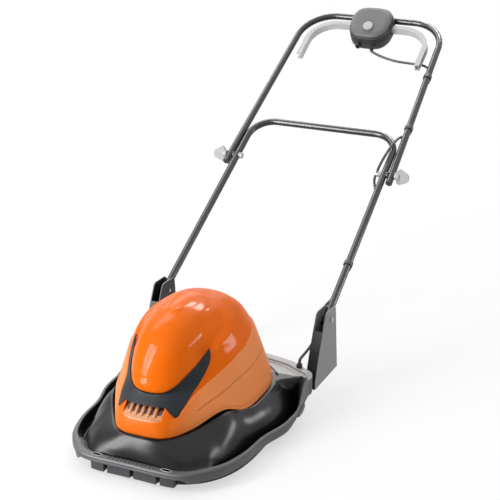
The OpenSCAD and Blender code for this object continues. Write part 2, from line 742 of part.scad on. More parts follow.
// Handle brackets, drawn in the Y-Z plane
leg_x = bracket_half_w - cheek_t - side_gap - tube_d / 2;
bracket_foot_y = tail_to + 8;
bracket_back_y = pivot_y + 27;
bracket_heel_y = pivot_y + 46;
cheek_r = 20;
stop_z = pivot_z + 27 * tan(handle_angle) - tube_d / 2 / cos(handle_angle) - seat_gap - 0.5;
front_top = [pivot_y - 33, pivot_z + 2];
function arc(c, r, a0, a1, n = 10) = [for (i = [0:n]) c + r * [cos(a0 + (a1 - a0) * i / n), sin(a0 + (a1 - a0) * i / n)]];
// Outline of a cheek, its heel and foot down to height z
function cheek_outline(z, foot_y) = concat(
    [[foot_y, z], [bracket_heel_y, z]],
    arc([pivot_y + 15, pivot_z + 12], 15, 0, 90),
    arc([pivot_y - 25, pivot_z + 15], 14, 90, 155),
    [[pivot_y - 50, pivot_z - 3], [max(foot_y + 6, pivot_y - 74), pivot_z - 56],
     [foot_y, foot_y > bracket_foot_y ? tail_h : tail_h - 30]]);

// Children's Y-Z drawing as a wall from x0 to x1
module wall_yz(x0, x1) {
    translate([x0, 0, 0]) rotate([90, 0, 90]) linear_extrude(x1 - x0) children();
}
module bracket() {
    in0 = cheek_in;
    out1 = bracket_half_w;
    wall = 3.5;
    front = [[bracket_foot_y, tail_hem_h], [bracket_foot_y, tail_h - 30], [pivot_y - 74, pivot_z - 56],
        [pivot_y - 54, pivot_z - 11], [pivot_y - 54 + wall, pivot_z - 13], [pivot_y - 74 + wall, pivot_z - 58],
        [bracket_foot_y + wall + 1, tail_h - 32], [bracket_foot_y + wall + 1, tail_hem_h]];
    color(graphite) difference() {
        union() {
            wall_yz(out1 - cheek_t, out1) polygon(cheek_outline(tail_hem_h, bracket_foot_y));
            wall_yz(in0, in0 + cheek_t) polygon(cheek_outline(tail_hem_h, bracket_foot_y + 20));
            wall_yz(in0, out1) polygon(front);
            wall_yz(in0, out1) polygon([
                [bracket_back_y - wall, stop_z - 90], [bracket_back_y, stop_z - 90],
                [bracket_back_y, stop_z - wall], [bracket_back_y - wall, stop_z - 2 * wall]]);
            wall_yz(in0, out1) translate([bracket_foot_y, tail_hem_h])
                square([bracket_heel_y - bracket_foot_y - 6, wall]);
            for (k = [1:3]) wall_yz(in0, out1)
                translate([bracket_foot_y + 30 * k, tail_hem_h]) square([2.5, 12 + 18 * k]);
        }
        translate([0, pivot_y, pivot_z]) bar_x(in0 - eps, out1 + eps, pin_d + 2 * slip);
        for (z = bracket_screw_z) translate([leg_x, bracket_foot_y - eps, z]) rotate([-90, 0, 0])
            cylinder(d = 5, h = wall + 3);
    }
}
bracket_screw_z = [tail_hem_h + 7.5, tail_hem_h + 16];
module left_bracket() { mirror([1, 0, 0]) bracket(); }
module right_bracket() { bracket(); }
module pivot_pins() {
    color(steel) for (s = [0, 1]) mirror([s, 0, 0]) translate([0, pivot_y, pivot_z]) {
        bar_x(cheek_in - 2, bracket_half_w + seat_gap, pin_d);
        bar_x(bracket_half_w + seat_gap, bracket_half_w + 3, pin_d + 5);
    }
}
module bracket_screws() {
    color(steel) for (s = [0, 1], z = bracket_screw_z) mirror([s, 0, 0])
        translate([leg_x, bracket_foot_y + 4.5 + seat_gap, z]) rotate([-90, 0, 0]) screw(4, 16, 7, 3);
}

// Lower handle: a U of tube, drawn in the plane of the handle
lower_end = -14;
module tube_section(extra) {
    difference() {
        circle(d = tube_d + 2 * extra);
        circle(d = tube_d - 2 * tube_wall - 2 * extra);
    }
}
// A straight run of tube along +Y that laps into the bends at its ends, and a bend that starts along +Y
// and turns towards -X. The wall is a little thicker in a bend, so that the laps lie inside it.
bend_extra = 0.05;
bend_lap = 1;
module tube_run(length, lap0 = bend_lap, lap1 = bend_lap) {
    translate([0, -lap0, 0]) rotate([-90, 0, 0]) linear_extrude(length + lap0 + lap1) tube_section(0);
}
module tube_bend(r, a) {
    translate([-r, 0, 0]) rotate_extrude(angle = a) translate([r, 0]) tube_section(bend_extra);
}
// A U of tube. Its legs pass x at height v, start at height v0 and lean in by an angle towards the bar at v1.
function lean_x(x, v, toe, at) = x - (at - v) * tan(toe);
module u_tube(x, v, v0, v1, toe, bend) {
    turn_v = v1 - bend * (1 - sin(toe));
    turn_x = lean_x(x, v, toe, turn_v);
    bar_half = turn_x - bend * cos(toe);
    for (s = [0, 1]) mirror([s, 0, 0]) {
        translate([lean_x(x, v, toe, v0), v0, 0]) rotate(toe) tube_run((turn_v - v0) / cos(toe), lap0 = 0);
        translate([turn_x, turn_v, 0]) rotate(toe) tube_bend(bend, 90 - toe);
    }
    translate([bar_half, v1, 0]) rotate(90) tube_run(2 * bar_half);
}
module lower_handle() {
    color(graphite) on_handle() difference() {
        u_tube(leg_x, 0, lower_end, cross_v, lower_toe, lower_bend);
        for (s = [-1, 1]) {
            translate([s * leg_x, 0, 0]) bar_x(-tube_d, tube_d, bush_d + 2 * slip);
            translate([s * fold_leg_x, fold_v, 0]) bar_x(-tube_d, tube_d, clamp_d + 2 * slip);
        }
    }
}
bush_d = pin_d + 5;
module pivot_bushes() {
    color(black) for (s = [-1, 1]) on_handle() translate([s * leg_x, 0, 0]) difference() {
        bar_x(-tube_d / 2 - side_gap + seat_gap, tube_d / 2 + side_gap - seat_gap, bush_d);
        bar_x(-tube_d, tube_d, pin_d + 2 * run_gap);
    }
}

// Fold clamp: bolts through both tubes, saddles between them and wing knobs outside
saddle_gap = 2.8;
fold_leg_x = lean_x(leg_x, 0, lower_toe, fold_v);
foot_x = fold_leg_x + tube_d + saddle_gap;
bolt_in = fold_leg_x - tube_d / 2 - 1;
bolt_out = foot_x + tube_d / 2 + 21;
// Room for a tube that passes the fold
module fold_groove(x, toe) {
    translate([x, 0, 0]) rotate(toe) translate([0, -20, 0]) rotate([-90, 0, 0])
        cylinder(d = tube_d + 2 * seat_gap, h = 40);
}
module clamp_bolts() {
    color(pale_grey) for (s = [0, 1]) mirror([s, 0, 0]) on_handle(fold_v) {
        bar_x(bolt_in, bolt_out, clamp_d);
        difference() {
            bar_x(bolt_in - 6, bolt_in + 4, 16);
            fold_groove(fold_leg_x, lower_toe);
        }
    }
}
module clamp_saddles() {
    out = foot_x - tube_d / 2 - 2.5 * seat_gap;
    color(black) for (s = [0, 1]) mirror([s, 0, 0]) on_handle(fold_v) difference() {
        bar_x(fold_leg_x + tube_d / 2 - 3, out, 17);
        fold_groove(fold_leg_x, lower_toe);
        bar_x(fold_leg_x, foot_x, clamp_d + 2 * slip);
    }
}
knob_in = foot_x + tube_d / 2 + 0.5;
module knob() {
    half = knob_h / 2;
    color(pale_grey) on_handle(fold_v) rotate([-handle_angle, 0, 0]) difference() {
        union() {
            bar_x(knob_in, knob_in + 12, 20);
            translate([knob_in + 5, knob_t / 2, 0]) rotate([90, 0, 0]) linear_extrude(knob_t) polygon(concat(
                [[0, -half * 0.72], [knob_reach * 0.25, -half]],
                arc([knob_reach - half * 0.62, -half * 0.1], half * 0.75, -42, 48),
                [[knob_reach * 0.25, half], [0, half * 0.72]]));
        }
        bar_x(knob_in - eps, bolt_out + 1, clamp_d + 2 * run_gap);
    }
}
module left_knob() { mirror([1, 0, 0]) knob(); }
module right_knob() { knob(); }

// Upper handle: feet outside the lower legs
upper_end = fold_v - 25;
grip_half_w = lean_x(foot_x, fold_v, upper_toe, top_v - upper_bend);
module upper_handle() {
    color(graphite) on_handle() difference() {
        u_tube(foot_x, fold_v, upper_end, top_v, upper_toe, upper_bend);
        for (s = [-1, 1]) translate([s * foot_x, fold_v, 0]) bar_x(-tube_d, tube_d, clamp_d + 2 * slip);
    }
}
module tube_caps() {
    end_x = lean_x(foot_x, fold_v, upper_toe, upper_end);
    color(black) for (s = [0, 1]) mirror([s, 0, 0]) on_handle(upper_end) translate([end_x, 0, 0])
        rotate(upper_toe) rotate([90, 0, 0]) {
        translate([0, 0, seat_gap]) cylinder(d = tube_d, h = 2.5);
        translate([0, 0, -8]) cylinder(d = tube_d - 2 * tube_wall - 2 * slip, h = 9);
    }
}

// Switch box: two shells that meet in the plane of the handle
box_top_v = top_v + 15;
box_mid_v = box_top_v - box_len / 2;
box_end_v = box_top_v - box_len;
box_tilt = 0.14;
function box_plan(grow) = [for (a = [0:6:354]) let (y = (box_len / 2 + grow) * power(sin(a), 2 / 3.2))
    [(box_half_w + grow) * power(cos(a), 2 / 3.2) * (1 - 0.12 * ramp(-y / box_len * 2)), box_mid_v + y]];
function box_ring(grow, z, tilt) = [for (p = box_plan(grow)) [p.x, p.y, z + tilt * (p.y - box_mid_v)]];
module box_shell(height, tilt) {
    w = box_wall;
    shares = [[0, 0], [0.55, -1], [0.82, -4], [0.95, -10], [1, -18]];
    outer = [for (s = shares) box_ring(s[1], s[0] * height, tilt * s[0])];
    inner = [for (s = shares) box_ring(s[1] - w, s[0] * (height - w), tilt * s[0])];
    capped_shell(outer, inner);
}
// Room for the handle's bar, the levers and what else passes the shells
module box_passages() {
    translate([0, top_v, 0]) bar_x(-2 * box_half_w, 2 * box_half_w, tube_d + 2 * seat_gap);
    for (s = [-1, 1]) translate([s * (box_half_w + 5) - 25, lever_v - lever_t / 2 - 9, -lever_w / 2 - 1])
        cube([50, lever_t + 20, lever_w + 2]);
    translate([outlet_x, box_mid_v - box_len / 2, outlet_z]) rotate([90, 0, 0])
        cylinder(d = lead_d + 5, h = 60, center = true);
    translate([-outlet_x, box_mid_v - box_len / 2, outlet_z]) rotate([90, 0, 0])
        cylinder(d = inlet_d + 2 * slip, h = 60, center = true);
}
outlet_x = 22;
outlet_z = -6;
inlet_d = 14;
module switch_box_top() {
    color(graphite) on_handle() difference() {
        translate([0, 0, seat_gap / 2]) box_shell(box_up, box_tilt);
        box_passages();
        at_button(-60) cylinder(d = button_d + 2 * seat_gap, h = 120);
    }
}
module switch_box_base() {
    color(graphite) on_handle() {
        difference() {
            mirror([0, 0, 1]) translate([0, 0, seat_gap / 2]) box_shell(box_down, -0.05);
            box_passages();
        }
        for (s = [-1, 1]) translate([s * lever_pin_x, lever_v, -box_down + box_wall - 1]) difference() {
            cylinder(d = 12, h = box_down - box_wall + 1 - lever_w / 2 - seat_gap);
            translate([0, 0, -eps]) cylinder(d = lever_pin_d + 2 * slip, h = box_down);
        }
    }
}

// Lock button on the sloping face of the box, and the switch below it
button_v = top_v - 66;
button_tilt = atan(box_tilt);
button_z = box_up + box_tilt * (button_v - box_mid_v) + 1;
module at_button(n) {
    translate([0, button_v, button_z]) rotate([button_tilt, 0, 0]) translate([0, 0, n]) children();
}
button_stem = 14;
module lock_button() {
    color(pale_grey) on_handle() {
        at_button(-6) cylinder(d = button_d, h = 11);
        at_button(-6 - button_stem) cylinder(d = 10, h = button_stem + eps);
    }
}
switch_top = button_z - 6 - button_stem - button_travel - 1.5;
module switch_unit() {
    color(black) on_handle() translate([-24, button_v - 22, -box_down + box_wall + seat_gap])
        cube([48, 40, switch_top + box_down - box_wall - 4]);
}

// Bail levers: channels that follow the corner of the handle, open towards the tube
lever_v = top_v - lever_drop;
lever_leg_x = grip_half_w - lever_inset;
lever_pin_x = box_half_w - 12;
lever_pin_d = 5;
lever_start = box_half_w + 2;
module lever_section() {
    difference() {
        square([lever_t, lever_w], center = true);
        translate([lever_wall, 0]) square([lever_t, lever_w - 2 * lever_wall], center = true);
    }
}
module lever() {
    color(pale_grey) on_handle() {
        difference() {
            union() {
                translate([lever_start - 2, lever_v, 0]) rotate([90, 0, 90])
                    linear_extrude(lever_leg_x - lever_bend - lever_start + 2) lever_section();
                translate([lever_leg_x - lever_bend, lever_v - lever_bend, 0]) rotate_extrude(angle = 90)
                    translate([lever_bend, 0]) lever_section();
                translate([lever_leg_x, lever_v - lever_bend, 0]) rotate([90, 0, 0])
                    linear_extrude(lever_tail) lever_section();
                translate([lever_pin_x, lever_v, 0]) cylinder(d = 13, h = lever_w - 4, center = true);
                translate([lever_pin_x, lever_v - 5, -lever_w / 2 + 2]) cube([lever_start - lever_pin_x + 4, 10, lever_w - 4]);
            }
            translate([lever_pin_x, lever_v, 0]) cylinder(d = lever_pin_d + 2 * run_gap, h = 2 * lever_w, center = true);
        }
    }
}
module left_lever() { mirror([1, 0, 0]) lever(); }
module right_lever() { lever(); }
module lever_pins() {
    low = -box_down + box_wall + seat_gap;
    color(steel) for (s = [-1, 1]) on_handle() translate([s * lever_pin_x, lever_v, low])
        cylinder(d = lever_pin_d, h = lever_w / 2 + 2 - low);
}

// Motor lead: from the switch box along the right legs to the hood.
// It crosses the fold and the handle pivot on their axes. Points of the handle stretches are
// across, along and square to the handle; the deck stretch is in the part's own axes.
lead_drop = tube_d / 2 + lead_d / 2 + 0.6;
fold_lead_x = bolt_in - 7 - lead_d / 2;
pivot_lead_x = cheek_in - 3 - lead_d / 2;
fold_lead_gap = 6.5;
gland_x = cheek_in - 15;
gland_y = 231;
upper_clip_v = [648, 846];
leg_clip_v = 172;
function on_upper(v) = [lean_x(foot_x, fold_v, upper_toe, v), v, -lead_drop];
function on_lower(v) = [lean_x(leg_x, 0, lower_toe, v), v, -lead_drop];
lead_under = lever_w / 2 + lead_d + 1.5;
lead_upper = [
    [outlet_x, box_end_v - 4, -6], [outlet_x, box_end_v - 20, -6], [34, box_end_v - 27, -8],
    [60, box_end_v - 36, -11], [100, box_end_v - 43, -15], [140, box_end_v - 43, -lead_under],
    [lever_leg_x + 2, box_end_v - 45, -lead_under], [on_upper(897).x - 10, box_end_v - 60, -lead_under + 1],
    on_upper(866), on_upper(upper_clip_v[1]), on_upper(790), on_upper(720), on_upper(upper_clip_v[0]),
    [on_upper(634).x - 5, 634, -12], [on_upper(622).x - 11, 622, -6], [on_upper(612).x - 13.8, 612, 1],
    [on_upper(602).x - 14, 602, 8], [on_upper(590).x - 16, fold_v + 114, 13.5], [fold_lead_x + 17, fold_v + 94, 16],
    [fold_lead_x + 13, fold_v + 74, 16.5], [fold_lead_x + 9, fold_v + 52, 15], [fold_lead_x + 4, fold_v + 32, 9.5],
    [fold_lead_x + 0.5, fold_v + 18, 3], [fold_lead_x, fold_v + 10, 0], [fold_lead_x, fold_v + fold_lead_gap, 0]];
lead_lower = [
    [fold_lead_x, fold_v - fold_lead_gap, 0], [fold_lead_x, fold_v - 13, 0], [fold_lead_x + 1, fold_v - 24, -6],
    [fold_lead_x + 8, fold_v - 40, -13], [fold_lead_x + 16, fold_v - 64, -15], on_lower(fold_v - 96),
    on_lower(310), on_lower(240), on_lower(leg_clip_v), on_lower(128), [pivot_lead_x + 15, 98, -15],
    [pivot_lead_x + 8, 70, -12], [pivot_lead_x + 2, 46, -6], [pivot_lead_x, 24, -1], [pivot_lead_x, 12, 0],
    [pivot_lead_x, 3.8, 0]];
lead_deck = [
    [pivot_lead_x, pivot_y, pivot_z], [pivot_lead_x, pivot_y - 1, 180], [cheek_in - 5, pivot_y - 8, 164],
    [cheek_in - 6, pivot_y - 24, 148], [cheek_in - 8, pivot_y - 46, 137], [cheek_in - 11, pivot_y - 68, 130],
    [gland_x + 2, gland_y + 16, 126], [gland_x, gland_y + 4, 121], [gland_x, gland_y, 113],
    [gland_x, gland_y, tail_h + 0.5]];
module motor_lead_upper() { color(black) on_handle() cord(open_spline(lead_upper, 2), lead_d); }
module motor_lead_lower() { color(black) on_handle() cord(open_spline(lead_lower, 2), lead_d); }
module motor_lead_deck() { color(black) cord(open_spline(lead_deck, 2), lead_d); }
// A clip round a leg and the lead below it
module lead_clip() {
    rotate([90, 0, 0]) linear_extrude(12, center = true) difference() {
        union() {
            circle(d = tube_d + 5);
            translate([0, -lead_drop]) circle(d = lead_d + 5);
        }
        circle(d = tube_d + 2 * slip);
        translate([0, -lead_drop]) circle(d = lead_d + 1.6);
    }
}
module lead_clips() {
    color(black) for (v = upper_clip_v) on_handle(v) translate([on_upper(v).x, 0, 0]) rotate(upper_toe) lead_clip();
}
module leg_clip() {
    color(black) on_handle(leg_clip_v) translate([on_lower(leg_clip_v).x, 0, 0]) rotate(lower_toe) lead_clip();
}
module lead_gland() {
    color(black) translate([gland_x, gland_y, tail_h + seat_gap]) ring(lead_d + 7, lead_d + 1.4, 9);
}
module lead_outlet() {
    color(black) on_handle() translate([outlet_x, box_mid_v - box_len / 2 + 6, outlet_z]) rotate([90, 0, 0])
        ring(lead_d + 4.6, lead_d + 1.4, 22);
}
module mains_inlet() {
    color(black) on_handle() translate([-outlet_x, box_mid_v - box_len / 2 + 6, outlet_z]) rotate([90, 0, 0])
        ring(inlet_d, 8, 16);
}

deck();
air_skirt();
hood();
hood_trim();
vent_grille();
hood_screws();
spindle_housing();
lower_bearing();
upper_bearing();
housing_screws();
motor_plate();
motor_shell();
motor_field();
motor_cap();
motor_bearings();
carbon_brushes();
drive_belt();
spindle();
driven_pulley();
impeller();
height_spacers();
blade();
blade_washer();
blade_bolt();
motor_shaft();
armature();
commutator();
driver_pulley();
left_bracket();
right_bracket();
pivot_pins();
bracket_screws();
lead_gland();
motor_lead_deck();
lower_handle();
pivot_bushes();
clamp_bolts();
clamp_saddles();
leg_clip();
motor_lead_lower();
upper_handle();
tube_caps();
switch_box_top();
switch_box_base();
switch_unit();
lever_pins();
lead_clips();
lead_outlet();
mains_inlet();
motor_lead_upper();
left_lever();
right_lever();
lock_button();
left_knob();
right_knob();
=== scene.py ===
"""Looks of the hover mower: smooth mouldings, finishes, lights and the photo's camera.

The CAD model gives every size. Shapes here are worked out in millimetres, in the part's own axes:
origin on the ground under the spindle, -Y to the front, +Z up. Meshes are made in metres.
"""
import math

import bpy
import numpy as np
from mathutils import Matrix, Vector


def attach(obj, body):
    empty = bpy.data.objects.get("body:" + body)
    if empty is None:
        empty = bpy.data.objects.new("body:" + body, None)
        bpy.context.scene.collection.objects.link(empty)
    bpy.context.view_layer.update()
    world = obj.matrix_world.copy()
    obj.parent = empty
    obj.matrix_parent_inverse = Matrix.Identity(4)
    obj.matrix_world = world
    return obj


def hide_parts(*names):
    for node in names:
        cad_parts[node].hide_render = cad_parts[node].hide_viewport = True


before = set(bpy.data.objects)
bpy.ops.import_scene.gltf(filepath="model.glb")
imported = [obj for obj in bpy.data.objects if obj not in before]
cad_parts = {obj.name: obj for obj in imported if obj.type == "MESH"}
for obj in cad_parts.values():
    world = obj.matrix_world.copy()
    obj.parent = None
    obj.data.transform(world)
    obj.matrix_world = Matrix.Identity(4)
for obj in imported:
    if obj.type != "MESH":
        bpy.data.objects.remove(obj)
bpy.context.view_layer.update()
MM = 0.001

# Camera, found from the photo: turn and height of the view in degrees, aim and distance in metres
VIEW_TURN, VIEW_RISE = 24.5, 21.121
VIEW_AIM_X, VIEW_AIM_Y, VIEW_DISTANCE = 0.15230, 0.41913, 3.12121
# Focal length over the width of the square picture
FOCAL_SHARE = 2.7209


def make_camera():
    """The photo's camera, and colours shown as they are."""
    turn, rise = math.radians(VIEW_TURN), math.radians(VIEW_RISE)
    back = Vector((math.sin(turn) * math.cos(rise), -math.cos(turn) * math.cos(rise), math.sin(rise)))
    right = Vector((math.cos(turn), math.sin(turn), 0))
    up = back.cross(right)
    data = bpy.data.cameras.new("photo_camera")
    data.lens = FOCAL_SHARE * data.sensor_width
    camera = bpy.data.objects.new("photo_camera", data)
    place = Matrix((right, up, back)).transposed().to_4x4()
    place.translation = right * VIEW_AIM_X + up * VIEW_AIM_Y + back * VIEW_DISTANCE
    camera.matrix_world = place
    scene = bpy.context.scene
    scene.collection.objects.link(camera)
    scene.camera = camera
    scene.view_settings.view_transform = "Standard"


make_camera()

# Finishes: patterns sized in millimetres. A moulded grain is about 0.1 mm wide in fact;
# it is drawn several times as coarse, so that it shows.
MOTTLE_MM, MOTTLE_DETAIL = 25, 3.0
GRAIN_MM, GRAIN_DEPTH_MM, GRAIN_DETAIL = 0.6, 0.2, 2.0
TUBE_GRAIN_MM = 0.9
COAT_ROUGHNESS = 0.06
# Where the painted pale sheen of the hood's sides comes in, out from the middle
SHEEN_FROM_MM, SHEEN_TO_MM = 60, 100
# Sockets of a Mix node that mixes colours
MIX_SHARE, MIX_FIRST, MIX_SECOND, MIX_RESULT = 0, 6, 7, 2


def linear(colour):
    """A #rrggbb colour as linear red, green, blue and alpha."""
    parts = [int(colour[i:i + 2], 16) / 255 for i in (1, 3, 5)]
    return tuple(c / 12.92 if c <= 0.04045 else ((c + 0.055) / 1.055) ** 2.4 for c in parts) + (1.0,)


def add(tree, kind, inputs=None, **settings):
    """A new node with its settings, and its inputs by name or number.

    An input is a plain value, a socket, or a node, which stands for its first output.
    """
    node = tree.nodes.new(kind)
    for name, value in settings.items():
        setattr(node, name, value)
    for name, value in (inputs or {}).items():
        if isinstance(value, bpy.types.Node):
            value = value.outputs[0]
        if isinstance(value, bpy.types.NodeSocket):
            tree.links.new(value, node.inputs[name])
        else:
            node.inputs[name].default_value = value
    return node


def material(name, colour, roughness, metallic=0.0, coat=0.0, grain=0.0, grain_mm=GRAIN_MM, mottle=0.04,
             shine=0.5, painted_sheen_colour=None, painted_shade_facing=None):
    """A procedural finish: colour, gloss, a clear skin (coat), a moulded grain and faint mottling.

    The painted sheen colour comes in towards both sides of the piece. The painted shade facing gives a
    direction, how far a face turns that way where a painted shade colour is full and where there is none of
    it, and that colour.
    """
    m = bpy.data.materials.new(name)
    m.use_nodes = True
    tree = m.node_tree
    shader = tree.nodes["Principled BSDF"]
    base = linear(colour)
    m.diffuse_color = base
    for socket, value in (("Base Color", base), ("Roughness", roughness), ("Metallic", metallic),
                          ("Coat Weight", coat), ("Coat Roughness", COAT_ROUGHNESS),
                          ("Specular IOR Level", shine)):
        shader.inputs[socket].default_value = value
    place = add(tree, "ShaderNodeTexCoord")
    spot = place.outputs["Object"]
    if mottle:
        low, high = (tuple(min(1, c * k) for c in base[:3]) + (1.0,) for k in (1 - mottle, 1 + mottle))
        cloud = add(tree, "ShaderNodeTexNoise",
                    {"Vector": spot, "Scale": 1 / (MOTTLE_MM * MM), "Detail": MOTTLE_DETAIL})
        tone = add(tree, "ShaderNodeMix", {MIX_SHARE: cloud, MIX_FIRST: low, MIX_SECOND: high},
                   data_type="RGBA").outputs[MIX_RESULT]
        share = painted_light_tone = None
        # painted sheen: a paler colour towards both sides
        if painted_sheen_colour:
            split = add(tree, "ShaderNodeSeparateXYZ", {"Vector": spot})
            out = add(tree, "ShaderNodeMath", {0: split.outputs["X"]}, operation="ABSOLUTE")
            share = add(tree, "ShaderNodeMapRange",
                        {"Value": out, "From Min": SHEEN_FROM_MM * MM, "From Max": SHEEN_TO_MM * MM})
            painted_light_tone = painted_sheen_colour
        # painted shade: a darker colour on faces turned one way
        if painted_shade_facing:
            direction, full, none, painted_light_tone = painted_shade_facing
            lie = add(tree, "ShaderNodeVectorMath", {0: place.outputs["Normal"], 1: direction},
                      operation="DOT_PRODUCT")
            share = add(tree, "ShaderNodeMapRange",
                        {"Value": lie.outputs["Value"], "From Min": none, "From Max": full})
        if painted_light_tone:
            tone = add(tree, "ShaderNodeMix",
                       {MIX_SHARE: share, MIX_FIRST: tone, MIX_SECOND: linear(painted_light_tone)},
                       data_type="RGBA").outputs[MIX_RESULT]
        tree.links.new(tone, shader.inputs["Base Color"])
    if grain:
        bits = add(tree, "ShaderNodeTexNoise",
                   {"Vector": spot, "Scale": 1 / (grain_mm * MM), "Detail": GRAIN_DETAIL})
        bump = add(tree, "ShaderNodeBump",
                   {"Strength": grain, "Distance": GRAIN_DEPTH_MM * MM, "Height": bits})
        tree.links.new(bump.outputs["Normal"], shader.inputs["Normal"])
    return m


# ABS from a polished mould, clear soft highlights: the hood
ORANGE = material("orange_abs_polished", "#f46d00", 0.32, coat=0.13, mottle=0.02, shine=0.02)
# The same plastic from a satin mould, with a painted pale sheen towards the sides: the hood's lower part
ORANGE_SATIN_PAINTED_SHEEN = material("orange_abs_satin_painted_sheen", "#f27005", 0.5, mottle=0.02, shine=0.1, painted_sheen_colour="#f69252")
# The same plastic, pale and dull with painted top light: the vent's ledge and fins
ORANGE_PAINTED_TOP_LIGHT = material("orange_abs_vent_ledge_painted_top_light", "#ce8a54", 0.55, mottle=0.02)
# Painted shade deep in the vent on the same plastic, a dark red brown
VENT_PAINTED_SHADE = material("vent_pocket_painted_shade", "#4a0f06", 0.7)
# Moulded polypropylene, black with a satin gloss: the deck's trough and hump
BLACK = material("black_pp_satin", "#0e0e0f", 0.27, mottle=0.03, shine=0.22)
# Polypropylene with a fine spark-eroded grain, which greys it: the rim, a darker skirt, and a tail and slot
# lips made paler by a painted sheen
BLACK_GRAIN = material("black_pp_grained", "#505153", 0.5, grain=0.35, shine=0.35)
SKIRT_GRAIN = material("black_pp_grained_skirt", "#3b3c3f", 0.55, grain=0.35, shine=0.3)
TAIL_PAINTED_SHEEN = material("black_pp_grained_tail_painted_sheen", "#abacae", 0.5, grain=0.3)
# Moulded ABS, dark blue grey and satin: the mask
GREY_TRIM = material("grey_abs_satin", "#22262a", 0.5, grain=0.12, shine=0.15)
# Glass-filled nylon, dull mid grey
GREY_NYLON = material("grey_nylon_grained", "#626365", 0.5, grain=0.3)
# The same nylon, pale outside, with painted shade on the faces towards the front and the leg: the brackets
BRACKET_LEFT_PAINTED_SHADE, BRACKET_RIGHT_PAINTED_SHADE = (
    material("grey_nylon_bracket_painted_shade_" + side, "#868789", 0.5, grain=0.3, shine=0.25,
             painted_shade_facing=((inward, -0.66, 0), 0.6, 0.3, "#0f0e0e"))
    for side, inward in (("left", 0.75), ("right", -0.75)))
# The same nylon, with painted shade darker on the sides than on the face: the switch box
BOX_NYLON_PAINTED_SHADE = material("grey_nylon_box_painted_shade", "#5d5d5f", 0.55, grain=0.3, shine=0.35,
                     painted_shade_facing=((0, -0.5, 0.866), 0.3, 0.8, "#1f1f20"))
# Moulded nylon, black and slightly dull: clips, caps and bushes
BLACK_NYLON = material("black_nylon", "#161617", 0.45, grain=0.15)
# Powder coat on steel tube, dark with sharp bright lines
TUBE_PAINT = material("graphite_powder_coat", "#232425", 0.22, metallic=0.15, grain=0.05,
                      grain_mm=TUBE_GRAIN_MM)
# Pale grey moulded polypropylene, satin: levers, button and knobs
PALE = material("pale_pp_satin", "#c3c3c2", 0.45, mottle=0.015, shine=0.25)
# Extruded PVC, black and soft: the lead and the belt
RUBBER = material("black_pvc_sheath", "#0e0e0f", 0.5)
# Zinc-plated and rolled steel, bright and grey metal
STEEL = material("zinc_plated_steel", "#a9abad", 0.32, metallic=1.0)
BLADE_STEEL = material("rolled_blade_steel", "#8b8e90", 0.38, metallic=1.0)
# Enamelled copper wire and pressed carbon inside the motor
COPPER = material("enamelled_copper", "#a85b2c", 0.4, metallic=0.9)
CARBON = material("pressed_carbon", "#202022", 0.6)
# Painted shade in gaps of the mouldings: a brown seam line in the hood, black in the slots of the nose strip
SHADOW_LINE = material("seam_shadow", "#5a2608", 0.8, mottle=0, shine=0)
BLACK_PAINTED_SHADE = material("slot_painted_shade", "#0c0c0d", 0.6, mottle=0, shine=0)


# Meshes
def smooth_mesh(name, points, faces):
    """A mesh with smooth faces, from points in millimetres."""
    mesh = bpy.data.meshes.new(name)
    mesh.from_pydata((np.asarray(points, float) * MM).tolist(), [], [list(map(int, f)) for f in faces])
    mesh.validate()
    mesh.polygons.foreach_set("use_smooth", [True] * len(mesh.polygons))
    return mesh


def placed(name, data):
    """A new object in the scene."""
    thing = bpy.data.objects.new(name, data)
    bpy.context.scene.collection.objects.link(thing)
    return thing


def seat(thing, body, stands_for):
    """Puts a piece on a CAD body, in place of the CAD nodes that it stands for."""
    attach(thing, body)
    for node in stands_for:
        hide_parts(node)


def piece(name, points, faces, finishes, stands_for=(), sharp=40.0):
    """A mesh piece on the deck; edges bent more than the sharp angle stay edges."""
    mesh = smooth_mesh(name, points, faces)
    mesh.set_sharp_from_angle(angle=math.radians(sharp))
    for finish in finishes:
        mesh.materials.append(finish)
    thing = placed(name, mesh)
    seat(thing, "deck", stands_for)
    return thing


def row_tree():
    """A node tree that repeats a piece along X in a row, which bows back by the square of X."""
    tree = bpy.data.node_groups.new("row_of_pieces", "GeometryNodeTree")
    for name, kind in (("Piece", "Geometry"), ("Count", "Int"), ("Pitch", "Float"), ("Bow", "Float"),
                       ("Finish", "Material")):
        tree.interface.new_socket(name, in_out="INPUT", socket_type="NodeSocket" + kind)
    tree.interface.new_socket("Row", in_out="OUTPUT", socket_type="NodeSocketGeometry")
    given = add(tree, "NodeGroupInput").outputs
    gaps = add(tree, "ShaderNodeMath", {0: given["Count"], 1: 1.0}, operation="SUBTRACT")
    length = add(tree, "ShaderNodeMath", {0: gaps, 1: given["Pitch"]}, operation="MULTIPLY")
    start = add(tree, "ShaderNodeMath", {0: length, 1: -0.5}, operation="MULTIPLY")
    first = add(tree, "ShaderNodeCombineXYZ", {"X": start})
    step = add(tree, "ShaderNodeCombineXYZ", {"X": given["Pitch"]})
    line = add(tree, "GeometryNodeMeshLine",
               {"Count": given["Count"], "Start Location": first, "Offset": step})
    x = add(tree, "ShaderNodeSeparateXYZ", {"Vector": add(tree, "GeometryNodeInputPosition")}).outputs["X"]
    square = add(tree, "ShaderNodeMath", {0: x, 1: x}, operation="MULTIPLY")
    back = add(tree, "ShaderNodeMath", {0: square, 1: given["Bow"]}, operation="MULTIPLY")
    shift = add(tree, "ShaderNodeCombineXYZ", {"Y": back})
    bowed = add(tree, "GeometryNodeSetPosition", {"Geometry": line, "Offset": shift})
    many = add(tree, "GeometryNodeInstanceOnPoints", {"Points": bowed, "Instance": given["Piece"]})
    real = add(tree, "GeometryNodeRealizeInstances", {"Geometry": many})
    paint = add(tree, "GeometryNodeSetMaterial", {"Geometry": real, "Material": given["Finish"]})
    add(tree, "NodeGroupOutput", {"Row": paint})
    return tree


ROW = row_tree()


